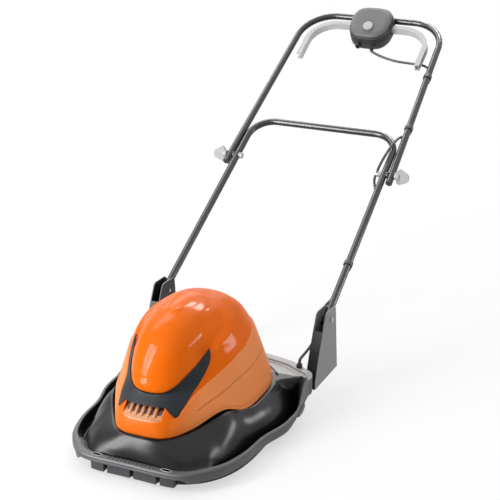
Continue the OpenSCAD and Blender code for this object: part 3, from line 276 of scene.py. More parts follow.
def row_of(name, points, faces, finish, count, pitch, bow, stands_for=()):
    """A row of one mesh piece on the deck; sizes in millimetres, the bow per millimetre."""
    unit = smooth_mesh(name + "_unit", points, faces)
    thing = placed(name, unit)
    row = thing.modifiers.new("row", "NODES")
    row.node_group = ROW
    sizes = {"Count": count, "Pitch": pitch * MM, "Bow": bow / MM, "Finish": finish}
    for socket in ROW.interface.items_tree:
        if socket.name in sizes:
            row[socket.identifier] = sizes[socket.name]
    made = bpy.data.meshes.new_from_object(thing.evaluated_get(bpy.context.evaluated_depsgraph_get()))
    made.name = name
    thing.modifiers.remove(row)
    thing.data = made
    bpy.data.meshes.remove(unit)
    seat(thing, "deck", stands_for)


def grid_faces(rows, cols, close_cols=False, start=0, flip=False):
    """Quads between neighbouring rows and columns of a grid of points stored row by row."""
    i, j = np.meshgrid(np.arange(rows - 1), np.arange(cols if close_cols else cols - 1), indexing="ij")
    j2 = (j + 1) % cols
    here, above = i * cols, (i + 1) * cols
    quads = np.stack([here + j, here + j2, above + j2, above + j], -1).reshape(-1, 4) + start
    return quads[:, ::-1] if flip else quads


def walled(thing, thickness):
    """Gives a skin its wall, inwards."""
    wall = thing.modifiers.new("wall", "SOLIDIFY")
    wall.thickness = thickness * MM
    wall.offset = -1


# Curves
def smooth_table(pairs):
    """A smooth curve through (place, value) pairs, held level beyond both ends."""
    xs, ys = np.array(pairs, float).T
    slope = np.gradient(ys, xs)

    def at(v):
        v = np.clip(np.asarray(v, float), xs[0], xs[-1])
        k = np.clip(np.searchsorted(xs, v, side="right") - 1, 0, len(xs) - 2)
        d = xs[k + 1] - xs[k]
        t = (v - xs[k]) / d
        return ((2 * t ** 3 - 3 * t ** 2 + 1) * ys[k] + (t ** 3 - 2 * t ** 2 + t) * d * slope[k]
                + (-2 * t ** 3 + 3 * t ** 2) * ys[k + 1] + (t ** 3 - t ** 2) * d * slope[k + 1])
    return at


def ramp(t):
    """0 to 1 with soft ends."""
    t = np.clip(t, 0, 1)
    return t * t * (3 - 2 * t)


def power(v, e):
    """A power that keeps the sign."""
    return np.sign(v) * np.abs(v) ** e


def spline_spans(a, b, c, d, per_span):
    """Points from b to c of smooth spans, each with its neighbours a and d."""
    a, b, c, d = (p[:, None, :] for p in (a, b, c, d))
    t = (np.arange(per_span) / per_span)[None, :, None]
    spans = 0.5 * (2 * b + (c - a) * t + (2 * a - 5 * b + 4 * c - d) * t ** 2
                   + (3 * b - a - 3 * c + d) * t ** 3)
    return spans.reshape(-1, spans.shape[-1])


def closed_spline(points, per_span):
    p = np.asarray(points, float)
    return spline_spans(*(np.roll(p, s, 0) for s in (1, 0, -1, -2)), per_span)


def open_spline(points, per_span):
    p = np.asarray(points, float)
    p = np.vstack([2 * p[0] - p[1], p, 2 * p[-1] - p[-2]])
    return np.vstack([spline_spans(p[:-3], p[1:-2], p[2:-1], p[3:], per_span), p[-2]])


# Motor lead: three stretches that part on the axes of the fold and of the handle pivot.
# Handle points are across, along and square to the handle; the deck's are in the part's axes.
HANDLE_ANGLE, PIVOT_Y, PIVOT_Z = 30, 330, 192
FOLD_V, LEAD_D = 476, 7
LEG_X, LOWER_TOE, FOOT_X, UPPER_TOE = 217.5, 1.0, 229.991, 2.2
CHEEK_IN, FOLD_LEAD_X, PIVOT_LEAD_X = 205, 188.691, 198.5
BOX_END_V, OUTLET_X, GLAND_X, GLAND_Y = 957, 22, 190, 231
LEAD_DROP, LEAD_UNDER, LEVER_LEG_X = 13.1, 18.5, 175.321
LEAD_STEPS, LEAD_ROUND = 6, 4


def on_handle(points):
    """Handle points (across, along, square to it) in the part's axes."""
    x, along, square = np.asarray(points, float).T
    c, s = math.cos(math.radians(HANDLE_ANGLE)), math.sin(math.radians(HANDLE_ANGLE))
    return np.stack([x, PIVOT_Y + along * c - square * s, PIVOT_Z + along * s + square * c], -1)


def on_upper(v):
    """The lead's place under the right upper tube."""
    return [FOOT_X - (v - FOLD_V) * math.tan(math.radians(UPPER_TOE)), v, -LEAD_DROP]


def on_lower(v):
    """The lead's place under the right lower tube."""
    return [LEG_X - v * math.tan(math.radians(LOWER_TOE)), v, -LEAD_DROP]


LEAD_UPPER = [
    [OUTLET_X, BOX_END_V - 4, -6], [OUTLET_X, BOX_END_V - 20, -6], [34, BOX_END_V - 27, -8],
    [60, BOX_END_V - 36, -11], [100, BOX_END_V - 43, -15], [140, BOX_END_V - 43, -LEAD_UNDER],
    [LEVER_LEG_X + 2, BOX_END_V - 45, -LEAD_UNDER], [on_upper(897)[0] - 10, BOX_END_V - 60, -LEAD_UNDER + 1],
    on_upper(866), on_upper(846), on_upper(790), on_upper(720), on_upper(648),
    [on_upper(634)[0] - 5, 634, -12], [on_upper(622)[0] - 11, 622, -6], [on_upper(612)[0] - 13.8, 612, 1],
    [on_upper(602)[0] - 14, 602, 8], [on_upper(590)[0] - 16, FOLD_V + 114, 13.5],
    [FOLD_LEAD_X + 17, FOLD_V + 94, 16], [FOLD_LEAD_X + 13, FOLD_V + 74, 16.5],
    [FOLD_LEAD_X + 9, FOLD_V + 52, 15], [FOLD_LEAD_X + 4, FOLD_V + 32, 9.5],
    [FOLD_LEAD_X + 0.5, FOLD_V + 18, 3], [FOLD_LEAD_X, FOLD_V + 10, 0], [FOLD_LEAD_X, FOLD_V + 6.5, 0]]
LEAD_LOWER = [
    [FOLD_LEAD_X, FOLD_V - 6.5, 0], [FOLD_LEAD_X, FOLD_V - 13, 0], [FOLD_LEAD_X + 1, FOLD_V - 24, -6],
    [FOLD_LEAD_X + 8, FOLD_V - 40, -13], [FOLD_LEAD_X + 16, FOLD_V - 64, -15], on_lower(FOLD_V - 96),
    on_lower(310), on_lower(240), on_lower(172), on_lower(128), [PIVOT_LEAD_X + 15, 98, -15],
    [PIVOT_LEAD_X + 8, 70, -12], [PIVOT_LEAD_X + 2, 46, -6], [PIVOT_LEAD_X, 24, -1], [PIVOT_LEAD_X, 12, 0],
    [PIVOT_LEAD_X, 3.8, 0]]
LEAD_DECK = [
    [PIVOT_LEAD_X, PIVOT_Y, PIVOT_Z], [PIVOT_LEAD_X, PIVOT_Y - 1, 180], [CHEEK_IN - 5, PIVOT_Y - 8, 164],
    [CHEEK_IN - 6, PIVOT_Y - 24, 148], [CHEEK_IN - 8, PIVOT_Y - 46, 137], [CHEEK_IN - 11, PIVOT_Y - 68, 130],
    [GLAND_X + 2, GLAND_Y + 16, 126], [GLAND_X, GLAND_Y + 4, 121], [GLAND_X, GLAND_Y, 113],
    [GLAND_X, GLAND_Y, 102.5]]


def make_lead(node, points, body):
    """One stretch of the lead as a round curve along its route."""
    path = open_spline(points, LEAD_STEPS) * MM
    data = bpy.data.curves.new(node + "_sheath", "CURVE")
    data.dimensions = "3D"
    line = data.splines.new("POLY")
    line.points.add(len(path) - 1)
    for spot, p in zip(line.points, path):
        spot.co = (*p, 1)
    data.bevel_depth = LEAD_D / 2 * MM
    data.bevel_resolution = LEAD_ROUND
    data.use_fill_caps = True
    data.materials.append(RUBBER)
    thing = placed(node + "_sheath", data)
    seat(thing, body, [node])


make_lead("motor_lead_upper", on_handle(LEAD_UPPER), "upper_handle")
make_lead("motor_lead_lower", on_handle(LEAD_LOWER), "lower_handle")
make_lead("motor_lead_deck", LEAD_DECK, "deck")

# Hood: level slices as in the CAD hood, with smooth curves in place of its straight steps.
# The tables go by shares of the hood's height.
HOOD_FRONT, HOOD_REAR, HOOD_HALF_W, HOOD_TOP, HOOD_MID = 206, 228, 163, 326, 40
HOOD_FOOT, HOOD_WALL = 95.3, 3
HOOD_H = HOOD_TOP - HOOD_FOOT
BODY_TOP, CAP_FROM = 0.985, 0.9
hood_width = smooth_table([(0, 1), (.145, .955), (.28, .92), (.45, .857), (.65, .741), (.83, .555),
                           (.92, .36), (BODY_TOP, .13)])
hood_nose = smooth_table([(0, 1), (.145, .988), (.25, .925), (.36, .8), (.45, .765), (.65, .67), (.83, .545),
                          (.92, .43), (BODY_TOP, .3)])
hood_back = smooth_table([(0, 1), (.145, .97), (.28, .955), (.45, .915), (.65, .86), (.83, .69), (.92, .49),
                          (BODY_TOP, .2)])
hood_taper = smooth_table([(0, .408), (.28, .392), (.65, .328), (BODY_TOP, .063)])
hood_square = smooth_table([(0, 3.45), (.28, 2.8), (.65, 2.5), (BODY_TOP, 2.4)])
# The nose panel, which bulges from the hood
BULGE_HALF_W, BULGE_ROUND, BULGE_FOOT = 90, 2.4, 0.3
bulge_nose = smooth_table([(BULGE_FOOT, 188), (.36, 201), (.5, 198), (.65, 185), (.8, 160), (.9, 130),
                           (.95, 102), (BODY_TOP, 72)])
bulge_width = smooth_table([(BULGE_FOOT, .9), (.45, 1), (.65, .94), (.83, .78), (.95, .5), (BODY_TOP, .3)])


def hood_body(a, h, grow=0.0):
    """Points of the hood without its nose panel, at turn angles a (degrees) and shares h of its height."""
    a, h = np.broadcast_arrays(np.radians(a), np.asarray(h, float))
    e = 2 / hood_square(h)
    nose = (HOOD_FRONT + HOOD_MID) * hood_nose(h) + grow
    back = (HOOD_REAR - HOOD_MID) * hood_back(h) + grow
    y = power(np.sin(a), e) * np.where(np.sin(a) < 0, nose, back)
    narrow = 1 - hood_taper(h) * ramp(-y / nose)
    x = power(np.cos(a), e) * (HOOD_HALF_W * hood_width(h) + grow) * narrow
    z = HOOD_FOOT + h * HOOD_H + grow * np.clip((h - CAP_FROM) / (1 - CAP_FROM), 0, 1)
    return np.stack([x, HOOD_MID + y, z], -1)


def bulge_round(share):
    """How far the nose panel still reaches forward at a share of its half width."""
    return (1 - share ** BULGE_ROUND) ** (1 / BULGE_ROUND)


def hood_skin(a, h, grow=0.0):
    """The hood with its nose panel."""
    p = hood_body(a, h, grow)
    h = np.broadcast_to(h, p.shape[:-1])
    share = np.clip(np.abs(p[..., 0]) / (BULGE_HALF_W * bulge_width(h) + grow), 0, 1)
    panel = HOOD_MID - (bulge_nose(h) + grow) * bulge_round(share)
    inside = (h >= BULGE_FOOT) & (share < 1)
    p[..., 1] = np.where(inside, np.minimum(p[..., 1], panel), p[..., 1])
    return p


# Lines on the hood's skin, as (turn angle, share of the height), right side; the left is mirrored
SIDE_CREASE = [(-52, .17), (-42, .285), (-36, .335), (-30, .37), (-13, .48), (1, .55), (17, .60), (40, .625)]
SIDE_SEAM = [(-33, .165), (-23, .22), (-6.5, .33), (4, .36), (14, .375), (30, .38)]
SCOOP_EDGE = [(-26, .575), (-14, .68), (-1, .755), (2, .81), (8, .875), (20, .93)]
scoop_h = smooth_table(SCOOP_EDGE)
crease_h = smooth_table(SIDE_CREASE)
# Scoop: its depth, how fast it sets in, and where it runs out by turn angle and by height
SCOOP_DEPTH, SCOOP_SET_IN = 8.0, 0.075
SCOOP_END, SCOOP_RUN_OUT, SCOOP_TOP, SCOOP_TOP_FADE = 16, 22, 0.95, 0.12
# Side panel: how far it stands proud, its step, and where it fades by height and by turn angle
SIDE_PROUD, SIDE_STEP, SIDE_FOOT, SIDE_FOOT_FADE = 2.6, 0.018, 0.02, 0.05
SIDE_FRONT, SIDE_FRONT_FADE, SIDE_BACK, SIDE_BACK_FADE, SATIN_END = -60, 12, 70, 25, 47
# Arches in the hood's foot, one on each side
ARCH_H, ARCH_Y, ARCH_AHEAD, ARCH_BEHIND, ARCH_FADE = 24, -66, 60, 42, 0.25
ARCH_X, ARCH_X_FADE = 60, 25
VENT_HALF_W, VENT_LOW, VENT_HIGH, VENT_BEFORE_Y = 47, .165, .3, -120


def arch_lift(p):
    """How far each side of the hood's foot lifts, steeper behind than ahead; the deck rises into it."""
    y = p[..., 1] - ARCH_Y
    side = ramp((np.abs(p[..., 0]) - ARCH_X) / ARCH_X_FADE)
    return ARCH_H * side * np.exp(-(y / np.where(y < 0, ARCH_AHEAD, ARCH_BEHIND)) ** 2)


def turn_from_side(a):
    """Turn angles with those of the left side as on the right."""
    a = np.asarray(a)
    return np.where(a < -90, -180 - a, a)


def hood_shape(a, h):
    """The finished skin: body, scoop beside the nose panel, step of the side panel, and arches."""
    p = hood_body(a, h)
    out = hood_body(a, h, 1.0) - p
    out /= np.linalg.norm(out, axis=-1, keepdims=True) + 1e-9
    turn = np.broadcast_to(turn_from_side(a), p.shape[:-1])
    h = np.broadcast_to(h, p.shape[:-1])
    # the scoop is deepest beside the panel and ends at a crease on the shoulder
    into = ramp((h - scoop_h(turn)) / SCOOP_SET_IN) * ramp((SCOOP_END - turn) / SCOOP_RUN_OUT)
    scoop = -SCOOP_DEPTH * into * ramp((SCOOP_TOP - h) / SCOOP_TOP_FADE)
    # below the crease the side panel stands a little proud
    panel = SIDE_PROUD * ramp((crease_h(turn) - h) / SIDE_STEP) * ramp((h - SIDE_FOOT) / SIDE_FOOT_FADE)
    panel = panel * np.clip((turn - SIDE_FRONT) / SIDE_FRONT_FADE, 0, 1)
    panel = panel * np.clip((SIDE_BACK - turn) / SIDE_BACK_FADE, 0, 1)
    p = p + out * (scoop + panel)[..., None]
    p[..., 2] += arch_lift(p) * np.clip(1 - h / ARCH_FADE, 0, 1)
    return p


HOOD_ROWS, HOOD_COLS, ROOF_ROWS = 132, 176, 10
HOOD_CROWDING, CORNER_CROWDING, RIDGE_AHEAD = 1.35, 0.06, 12


def make_hood():
    """The hood's shell, open at the vent; its roof closes towards one point on the ridge."""
    h = BODY_TOP * (1 - (1 - np.linspace(0, 1, HOOD_ROWS)) ** HOOD_CROWDING)
    # turn angles, closer together at the nose corners where the slices bend
    u = np.linspace(0, 1, HOOD_COLS)
    half = -90 + 180 * (u + CORNER_CROWDING * np.sin(2 * math.pi * u))
    angles = np.concatenate([half, (180 - half[1:-1])[::-1]])
    angles = np.where(angles > 90, angles - 360, angles)
    skin = hood_shape(angles[None, :], h[:, None])
    ring = skin[-1]
    tip = np.array([0, HOOD_MID - RIDGE_AHEAD, HOOD_TOP])
    layers = [*skin]
    for s in np.linspace(0, 1, ROOF_ROWS)[1:]:
        layer = ring + (tip - ring) * s
        layer[:, 2] = ring[:, 2] + (HOOD_TOP - ring[:, 2]) * (1 - (1 - s) ** 2)
        layers.append(layer)
    points = np.vstack(layers)
    faces = grid_faces(len(layers), len(angles), close_cols=True)
    x, y, z = points[faces].mean(1).T
    h_mid = (z - HOOD_FOOT) / HOOD_H
    vent = (np.abs(x) < VENT_HALF_W) & (h_mid > VENT_LOW) & (h_mid < VENT_HIGH) & (y < VENT_BEFORE_Y)
    hood = piece("hood_shell", points, faces[~vent], [ORANGE, ORANGE_SATIN_PAINTED_SHEEN], ["hood"],
                 sharp=60)
    # satin, with its painted pale sheen towards the sides, below the crease of each side
    turn = turn_from_side(np.tile(angles, len(layers) - 1))
    satin = (h_mid < crease_h(turn)) & (turn < SATIN_END)
    hood.data.polygons.foreach_set("material_index", satin[~vent].astype(np.int32))
    walled(hood, HOOD_WALL)


PANEL_COLS, PANEL_ROWS, PANEL_CROWDING = 121, 96, 1.6
# Shares of the hood's height: the panel's foot, its rise to the sides and its top
PANEL_FOOT, PANEL_FOOT_RISE, PANEL_TOP = 0.347, 0.25, 0.972
# The dive of its top: depth, where it starts, how much earlier at the sides, and its run
DIVE, DIVE_FROM, DIVE_SIDES, DIVE_RUN = 9, 0.91, 0.12, 0.062
# Rows tucked in under the roof: share of the width, way back and way up
PANEL_TUCK = ((0.93, 10, 0), (0.8, 26, -6), (0.65, 44, -18))


def make_nose_panel():
    """The glossy raised panel; its foot is behind the mask and its top dives into the roof."""
    p = np.linspace(-1, 1, PANEL_COLS)
    p = np.sign(p) * (1 - (1 - np.abs(p)) ** PANEL_CROWDING)
    sides = np.abs(p) ** 3
    low = PANEL_FOOT + PANEL_FOOT_RISE * sides
    h = low + (PANEL_TOP - low) * np.linspace(0, 1, PANEL_ROWS)[:, None]
    dive = DIVE * ramp((h - DIVE_FROM + DIVE_SIDES * sides) / DIVE_RUN)
    reach = bulge_nose(h) * bulge_round(np.abs(p)) - dive
    rows = np.stack([BULGE_HALF_W * bulge_width(h) * p, HOOD_MID - reach, HOOD_FOOT + h * HOOD_H], -1)
    tuck = [rows[-1] * [width, 1, 1] + [0, back, up] for width, back, up in PANEL_TUCK]
    rows = np.concatenate([rows, tuck])
    piece("nose_panel", rows.reshape(-1, 3), grid_faces(len(rows), PANEL_COLS), [ORANGE],
          sharp=70)


# Mask: its lower and upper edge, as shares of its half turn and of the hood's height
TRIM_FOOT = [(0, .275), (.35, .27), (.48, .215), (.58, .172), (.63, .182), (.71, .255), (.74, .3),
             (.78, .345), (.84, .395), (.92, .47), (.98, .545), (1, .6)]
TRIM_HEAD = [(0, .35), (.3, .365), (.5, .415), (.75, .52), (1, .66)]
TRIM_COLS, TRIM_ROWS, TRIM_HALF_A, TRIM_END, TRIM_OVERLAP = 241, 18, 64, 0.999, 0.012
TRIM_SWEEP_FROM, TRIM_SWEEP, TRIM_PROUD, TRIM_SUNK = 0.29, 0.055, 2.4, -1.5


def make_trim():
    """The dark mask round the foot of the nose panel, with a horn on each side."""
    u = np.linspace(-TRIM_END, TRIM_END, TRIM_COLS)
    foot = np.interp(np.abs(u), *np.array(TRIM_FOOT).T)
    head = smooth_table(TRIM_HEAD)(np.abs(u)) + TRIM_OVERLAP
    h = foot + np.linspace(0, 1, TRIM_ROWS)[:, None] * (head - foot)
    a = -90 + TRIM_HALF_A * u[None, :]
    # below the panel's foot the mask follows the hood's body and sweeps up to the panel
    blend = ramp((h - TRIM_SWEEP_FROM) / TRIM_SWEEP)[..., None]
    face, back = (hood_body(a, h, lift) * (1 - blend) + hood_skin(a, h, lift) * blend
                  for lift in (TRIM_PROUD, TRIM_SUNK))
    points = np.vstack([face.reshape(-1, 3), back.reshape(-1, 3)])
    to_back = TRIM_ROWS * TRIM_COLS
    faces = [*grid_faces(TRIM_ROWS, TRIM_COLS)]
    for row in (0, TRIM_ROWS - 1):
        line = np.arange(TRIM_COLS - 1) + row * TRIM_COLS
        edge = np.stack([line, line + 1, line + 1 + to_back, line + to_back], -1)
        faces += [*(edge if row else edge[:, ::-1])]
    piece("trim_mask", points, faces, [GREY_TRIM], ["hood_trim"], sharp=50)


SEAM_W, SEAM_PROUD, SEAM_STEPS = 1.4, 0.25, 12


def make_side_seam():
    """A thin dark line along the seam of each side panel."""
    path = open_spline(SIDE_SEAM, SEAM_STEPS)
    a, h = path.T
    mid = hood_shape(a, h)
    out = hood_body(a, h, 1.0) - hood_body(a, h)
    across = np.cross(np.gradient(mid, axis=0), out)
    across *= SEAM_W / 2 / np.linalg.norm(across, axis=1, keepdims=True)
    out *= SEAM_PROUD / np.linalg.norm(out, axis=1, keepdims=True)
    right = np.concatenate([mid - across, mid + out, mid + across])
    left = right * [-1, 1, 1]
    faces = [*grid_faces(3, len(path)), *grid_faces(3, len(path), start=len(right), flip=True)]
    piece("hood_side_seam", np.vstack([right, left]), faces, [SHADOW_LINE], sharp=80)


VENT_FINS, FIN_PITCH, FIN_W, FIN_ROUND, FIN_STEPS = 5, 14.6, 7.4, 14, 4
# Up a fin: share of the ledge's depth and height over the ledge; its tip grows to full width
FIN_LINE = ((0.22, -1), (0.34, 1.2), (0.6, 3), (0.85, 4.4), (1.1, 5))
FIN_TIP, FIN_GROWTH = 0.25, 0.3
LEDGE_DEEP, LEDGE_UP, LEDGE_COLS, LEDGE_MORE, LEDGE_LIP = 30, 17, 61, 1.5, 1.5
LEDGE_BACK = np.array([-0.04, 0.0, 0.3, 0.7, 1.0])
LEDGE_WALL = [0, 8, 10]
# Turn angles from the middle of the nose past the vent's end
VENT_TURNS = np.linspace(-90, -40, 400)
# Slots: where they lie on the ledge, their lift off it and their back wall; the outer two are narrower
SLOT_BACK = np.array([0.42, 1.0])
SLOT_LIFT, SLOT_WALL = [0, -0.3, 0.4], [0, 7, 9.5]
SLOT_COLS, SLOT_GAP, END_SLOT_HALF_W = 5, 0.5, 5.0


def ledge_point(x, back):
    """A point of the vent's ledge, a share of the way back from the lip in the hood's skin."""
    lip = hood_body(VENT_TURNS, VENT_LOW)
    x = np.asarray(x, float)
    y = np.interp(np.abs(x), lip[:, 0], lip[:, 1])
    z = HOOD_FOOT + VENT_LOW * HOOD_H
    return np.stack(np.broadcast_arrays(x, y + LEDGE_DEEP * back, z + LEDGE_UP * back), -1)


def make_vent_ledge():
    """A ledge, pale with painted top light, that slopes back into the nose."""
    half = VENT_HALF_W + LEDGE_MORE
    rows = ledge_point(np.linspace(-half, half, LEDGE_COLS)[None, :], LEDGE_BACK[:, None])
    rows[0, :, 2] -= LEDGE_LIP
    rows = np.concatenate([rows, [rows[-1] + LEDGE_WALL]])
    piece("vent_ledge", rows.reshape(-1, 3), grid_faces(len(rows), LEDGE_COLS), [ORANGE_PAINTED_TOP_LIGHT],
          sharp=30)


def make_vent_slots():
    """Slots as dark sheets of painted shade a little above the ledge, left and right of each fin."""
    points, faces = [], []
    for i in range(VENT_FINS + 1):
        mid = (i - VENT_FINS / 2) * FIN_PITCH
        half = FIN_PITCH / 2 - SLOT_GAP if 0 < i < VENT_FINS else END_SLOT_HALF_W
        rows = ledge_point(np.linspace(mid - half, mid + half, SLOT_COLS)[None, :], SLOT_BACK[:, None])
        rows = rows + SLOT_LIFT
        rows = np.concatenate([rows, [rows[-1] + SLOT_WALL]])
        faces += [*grid_faces(len(rows), SLOT_COLS, start=len(points))]
        points += [*rows.reshape(-1, 3)]
    piece("vent_slots", points, faces, [VENT_PAINTED_SHADE], sharp=30)


def make_vent_fins():
    """A rounded fin between each two slots."""
    path = open_spline([ledge_point(0, back) + [0, 0, up] for back, up in FIN_LINE], FIN_STEPS)
    ahead = np.gradient(path, axis=0)
    ahead /= np.linalg.norm(ahead, axis=1, keepdims=True)
    w = np.arange(FIN_ROUND)[:, None] / FIN_ROUND * 2 * math.pi
    across = np.array([1.0, 0, 0])
    points = []
    for k, mid in enumerate(path):
        radius = min(1.0, FIN_TIP + FIN_GROWTH * k) * FIN_W / 2
        points += [*(mid + radius * (np.cos(w) * across + np.sin(w) * np.cross(across, ahead[k])))]
    faces = [*grid_faces(len(path), FIN_ROUND, close_cols=True), [*range(FIN_ROUND)][::-1]]
    side = FIN_PITCH * (VENT_FINS - 1) / 2
    bow = (ledge_point(side, 0)[1] - ledge_point(0, 0)[1]) / side ** 2
    # fins pale with painted top light
    row_of("vent_fins", points, faces, ORANGE_PAINTED_TOP_LIGHT, VENT_FINS, FIN_PITCH, bow,
           ["vent_grille"])


make_hood()
make_nose_panel()
make_trim()
make_side_seam()
make_vent_ledge()
make_vent_slots()
make_vent_fins()

# Deck: the CAD rim, rings and hump with smooth curves through them
DECK_FRONT, DECK_REAR, DECK_HALF_W, WAIST_HALF_W, NOSE_HALF_W = 255, 282, 237, 213, 112
RIM_H, TAIL_H, TROUGH_H, CROWN_H, DECK_WALL, EYE_D, NOSE_STRIP = 50, 102, 22, 95, 4, 130, 19
HEM_H, TAIL_HEM_H, LIP, TAIL_LIP, TAIL_HALF_W = 26, 50, 8, 24, 227
NOSE_FLOOR_H, TAIL_FLOOR_H, FLOOR_FRONT, FLOOR_FROM, FLOOR_TO = 43, 97, 45, 196, 220
CROWN_EDGE, FLAT_IN, VALLEY_Y, VALLEY_SPREAD, VALLEY_DEPTH, VALLEY_X = 6, 26, -24, 34, 12, 60
DECK_MID, DECK_HALF_L = (DECK_REAR - DECK_FRONT) / 2, (DECK_REAR + DECK_FRONT) / 2
TAIL_FROM, TAIL_TO, HEM_FROM, HEM_TO, BRACKET_FOOT_Y = 130, 224, 50, 165, 232
RIM_HALF = [[0, -DECK_FRONT], [NOSE_HALF_W, -DECK_FRONT + 3], [NOSE_HALF_W + 46, -DECK_FRONT + 40],
            [WAIST_HALF_W - 25, -DECK_FRONT + 82], [WAIST_HALF_W - 6, -DECK_FRONT + 150],
            [WAIST_HALF_W + 1, -26], [DECK_HALF_W - 5, 42], [DECK_HALF_W, 90], [DECK_HALF_W - 1, 146],
            [TAIL_HALF_W + 2, 194], [TAIL_HALF_W, 221], [CHEEK_IN - 12, 241], [CHEEK_IN - 62, 264],
            [0, DECK_REAR]]
RIM_STEPS, OVER_STEPS = 14, 6
rim_plan = closed_spline(np.vstack([RIM_HALF, [[-x, y] for x, y in RIM_HALF[-2:0:-1]]]), RIM_STEPS)
# Hem across the nose: how far it is cut back, from where and over what run
NOSE_HEM_UP, NOSE_HEM_FROM, NOSE_HEM_RUN = 11, -238, 12
# The outer band from the hem up: insets, and drops below the rim's top, with a fine groove under the rim
HEM_INSET, BAND_INSET, HEM_ROUND = 1.4, 0.2, 2.5
BAND = ((BAND_INSET, 9), (1.4, 8), (0.7, 6.5), (0.4, 4), (1.6, 1.2))
# Down the hump: shares of the way out and of the way down, from the trough up to the crown
HUMP_LINE = [(0.95, 0.96), (0.89, 0.84), (0.78, 0.61), (0.62, 0.39), (0.43, 0.22), (0.24, 0.1), (0.09, 0.03),
             (0, 0)]
# How much of the hood's arch the hump fills, and how far down it
ARCH_FILL, ARCH_DOWN = 0.82, 0.6
# Turn angles at which the hood's foot is sampled for the crown
CROWN_TURNS = np.arange(-90, 90.1, 1.5)
# Over the rim: insets at the sides, in front and at the rear, and the drop below the rim's top
RIM_TOP = ((3.4, 3.6, 4, 0), (LIP - 2, NOSE_STRIP - 2.5, TAIL_LIP - 3, 0), (LIP, NOSE_STRIP, TAIL_LIP, 1.2),
           (LIP + 2, NOSE_STRIP + 1.2, TAIL_LIP + 1, 4))
# The foot of the rim's inner wall, with its height over the trough's floor, and the trough's edge
RIM_FOOT = (LIP + 10, NOSE_STRIP + 2, TAIL_LIP + 5, 3)
TROUGH_INSET = (LIP + 16, NOSE_STRIP + 3, TAIL_LIP + 9)


def drawn_in(side, front, rear):
    """The rim drawn in by three insets: sides, front and rear."""
    x, y = rim_plan.T
    inset = np.where(y < DECK_MID, front, rear)
    along = DECK_MID + (y - DECK_MID) * (1 - inset / DECK_HALF_L)
    return np.stack([x * (1 - side / DECK_HALF_W), along], -1)


def rim_ring(side, front, rear, drop):
    """A ring that follows the rim's top, which rises at the tail."""
    tail = ramp((rim_plan[:, 1] - TAIL_FROM) / (TAIL_TO - TAIL_FROM))
    return np.column_stack([drawn_in(side, front, rear), RIM_H - drop + (TAIL_H - RIM_H) * tail])


def hem_ring(inset, up):
    """A ring over the deck's lower edge, which is cut back across the nose and shows the skirt's blocks."""
    y = rim_plan[:, 1]
    hem = HEM_H + (TAIL_HEM_H - HEM_H) * ramp((y - HEM_FROM) / (HEM_TO - HEM_FROM))
    hem = hem + NOSE_HEM_UP * ramp((NOSE_HEM_FROM - y) / NOSE_HEM_RUN)
    return np.column_stack([drawn_in(inset, inset, inset), hem + up])


def floor_at(y):
    """Height of the trough's floor, which rises towards the nose and towards the tail."""
    return (TROUGH_H + (NOSE_FLOOR_H - TROUGH_H) * ramp((FLOOR_FRONT - DECK_FRONT - y) / FLOOR_FRONT + 1)
            + (TAIL_FLOOR_H - TROUGH_H) * ramp((y - FLOOR_FROM) / (FLOOR_TO - FLOOR_FROM)))


def floor_ring(side, front, rear, up):
    """A ring over the trough's floor."""
    return np.column_stack([drawn_in(side, front, rear), floor_at(rim_plan[:, 1]) + up])


def crown_line(grow):
    """The crown's edge round the hood's foot, one point in the direction of each point of the rim."""
    foot = hood_body(CROWN_TURNS, 0, grow)
    turn = np.degrees(np.arctan2(foot[:, 1] - HOOD_MID, foot[:, 0]))
    x, y = rim_plan.T
    a = np.interp(np.degrees(np.arctan2(y - HOOD_MID, np.abs(x))), turn, CROWN_TURNS)
    edge = hood_body(a, 0, grow)
    valley = VALLEY_DEPTH * np.exp(-((edge[:, 1] - VALLEY_Y) / VALLEY_SPREAD) ** 2) * (np.abs(x) > VALLEY_X)
    return np.column_stack([np.sign(x) * (edge[:, 0] - valley), edge[:, 1]])


def hump_ring(out, down):
    """A ring of the hump, a share of the way out from the crown's edge to the trough and a share down."""
    crown = crown_line(CROWN_EDGE)
    place = crown + out * (drawn_in(*TROUGH_INSET) - crown)
    rise = ARCH_FILL * arch_lift(place) * max(0, 1 - down / ARCH_DOWN)
    return np.column_stack([place, CROWN_H + rise + (floor_at(rim_plan[:, 1]) - CROWN_H) * down])


# Rows of faces over the rim that are grained, and where the tail's painted pale sheen starts
GRAINED_OVER, TAIL_TOP_Y, TAIL_TOP_Z = 11, 196, TAIL_FLOOR_H - 6
# The deck is left open where each bracket stands
BRACKET_CUT_X, BRACKET_CUT_Y, BRACKET_CUT_Z = CHEEK_IN - 0.5, BRACKET_FOOT_Y - 0.3, TAIL_HEM_H - 8


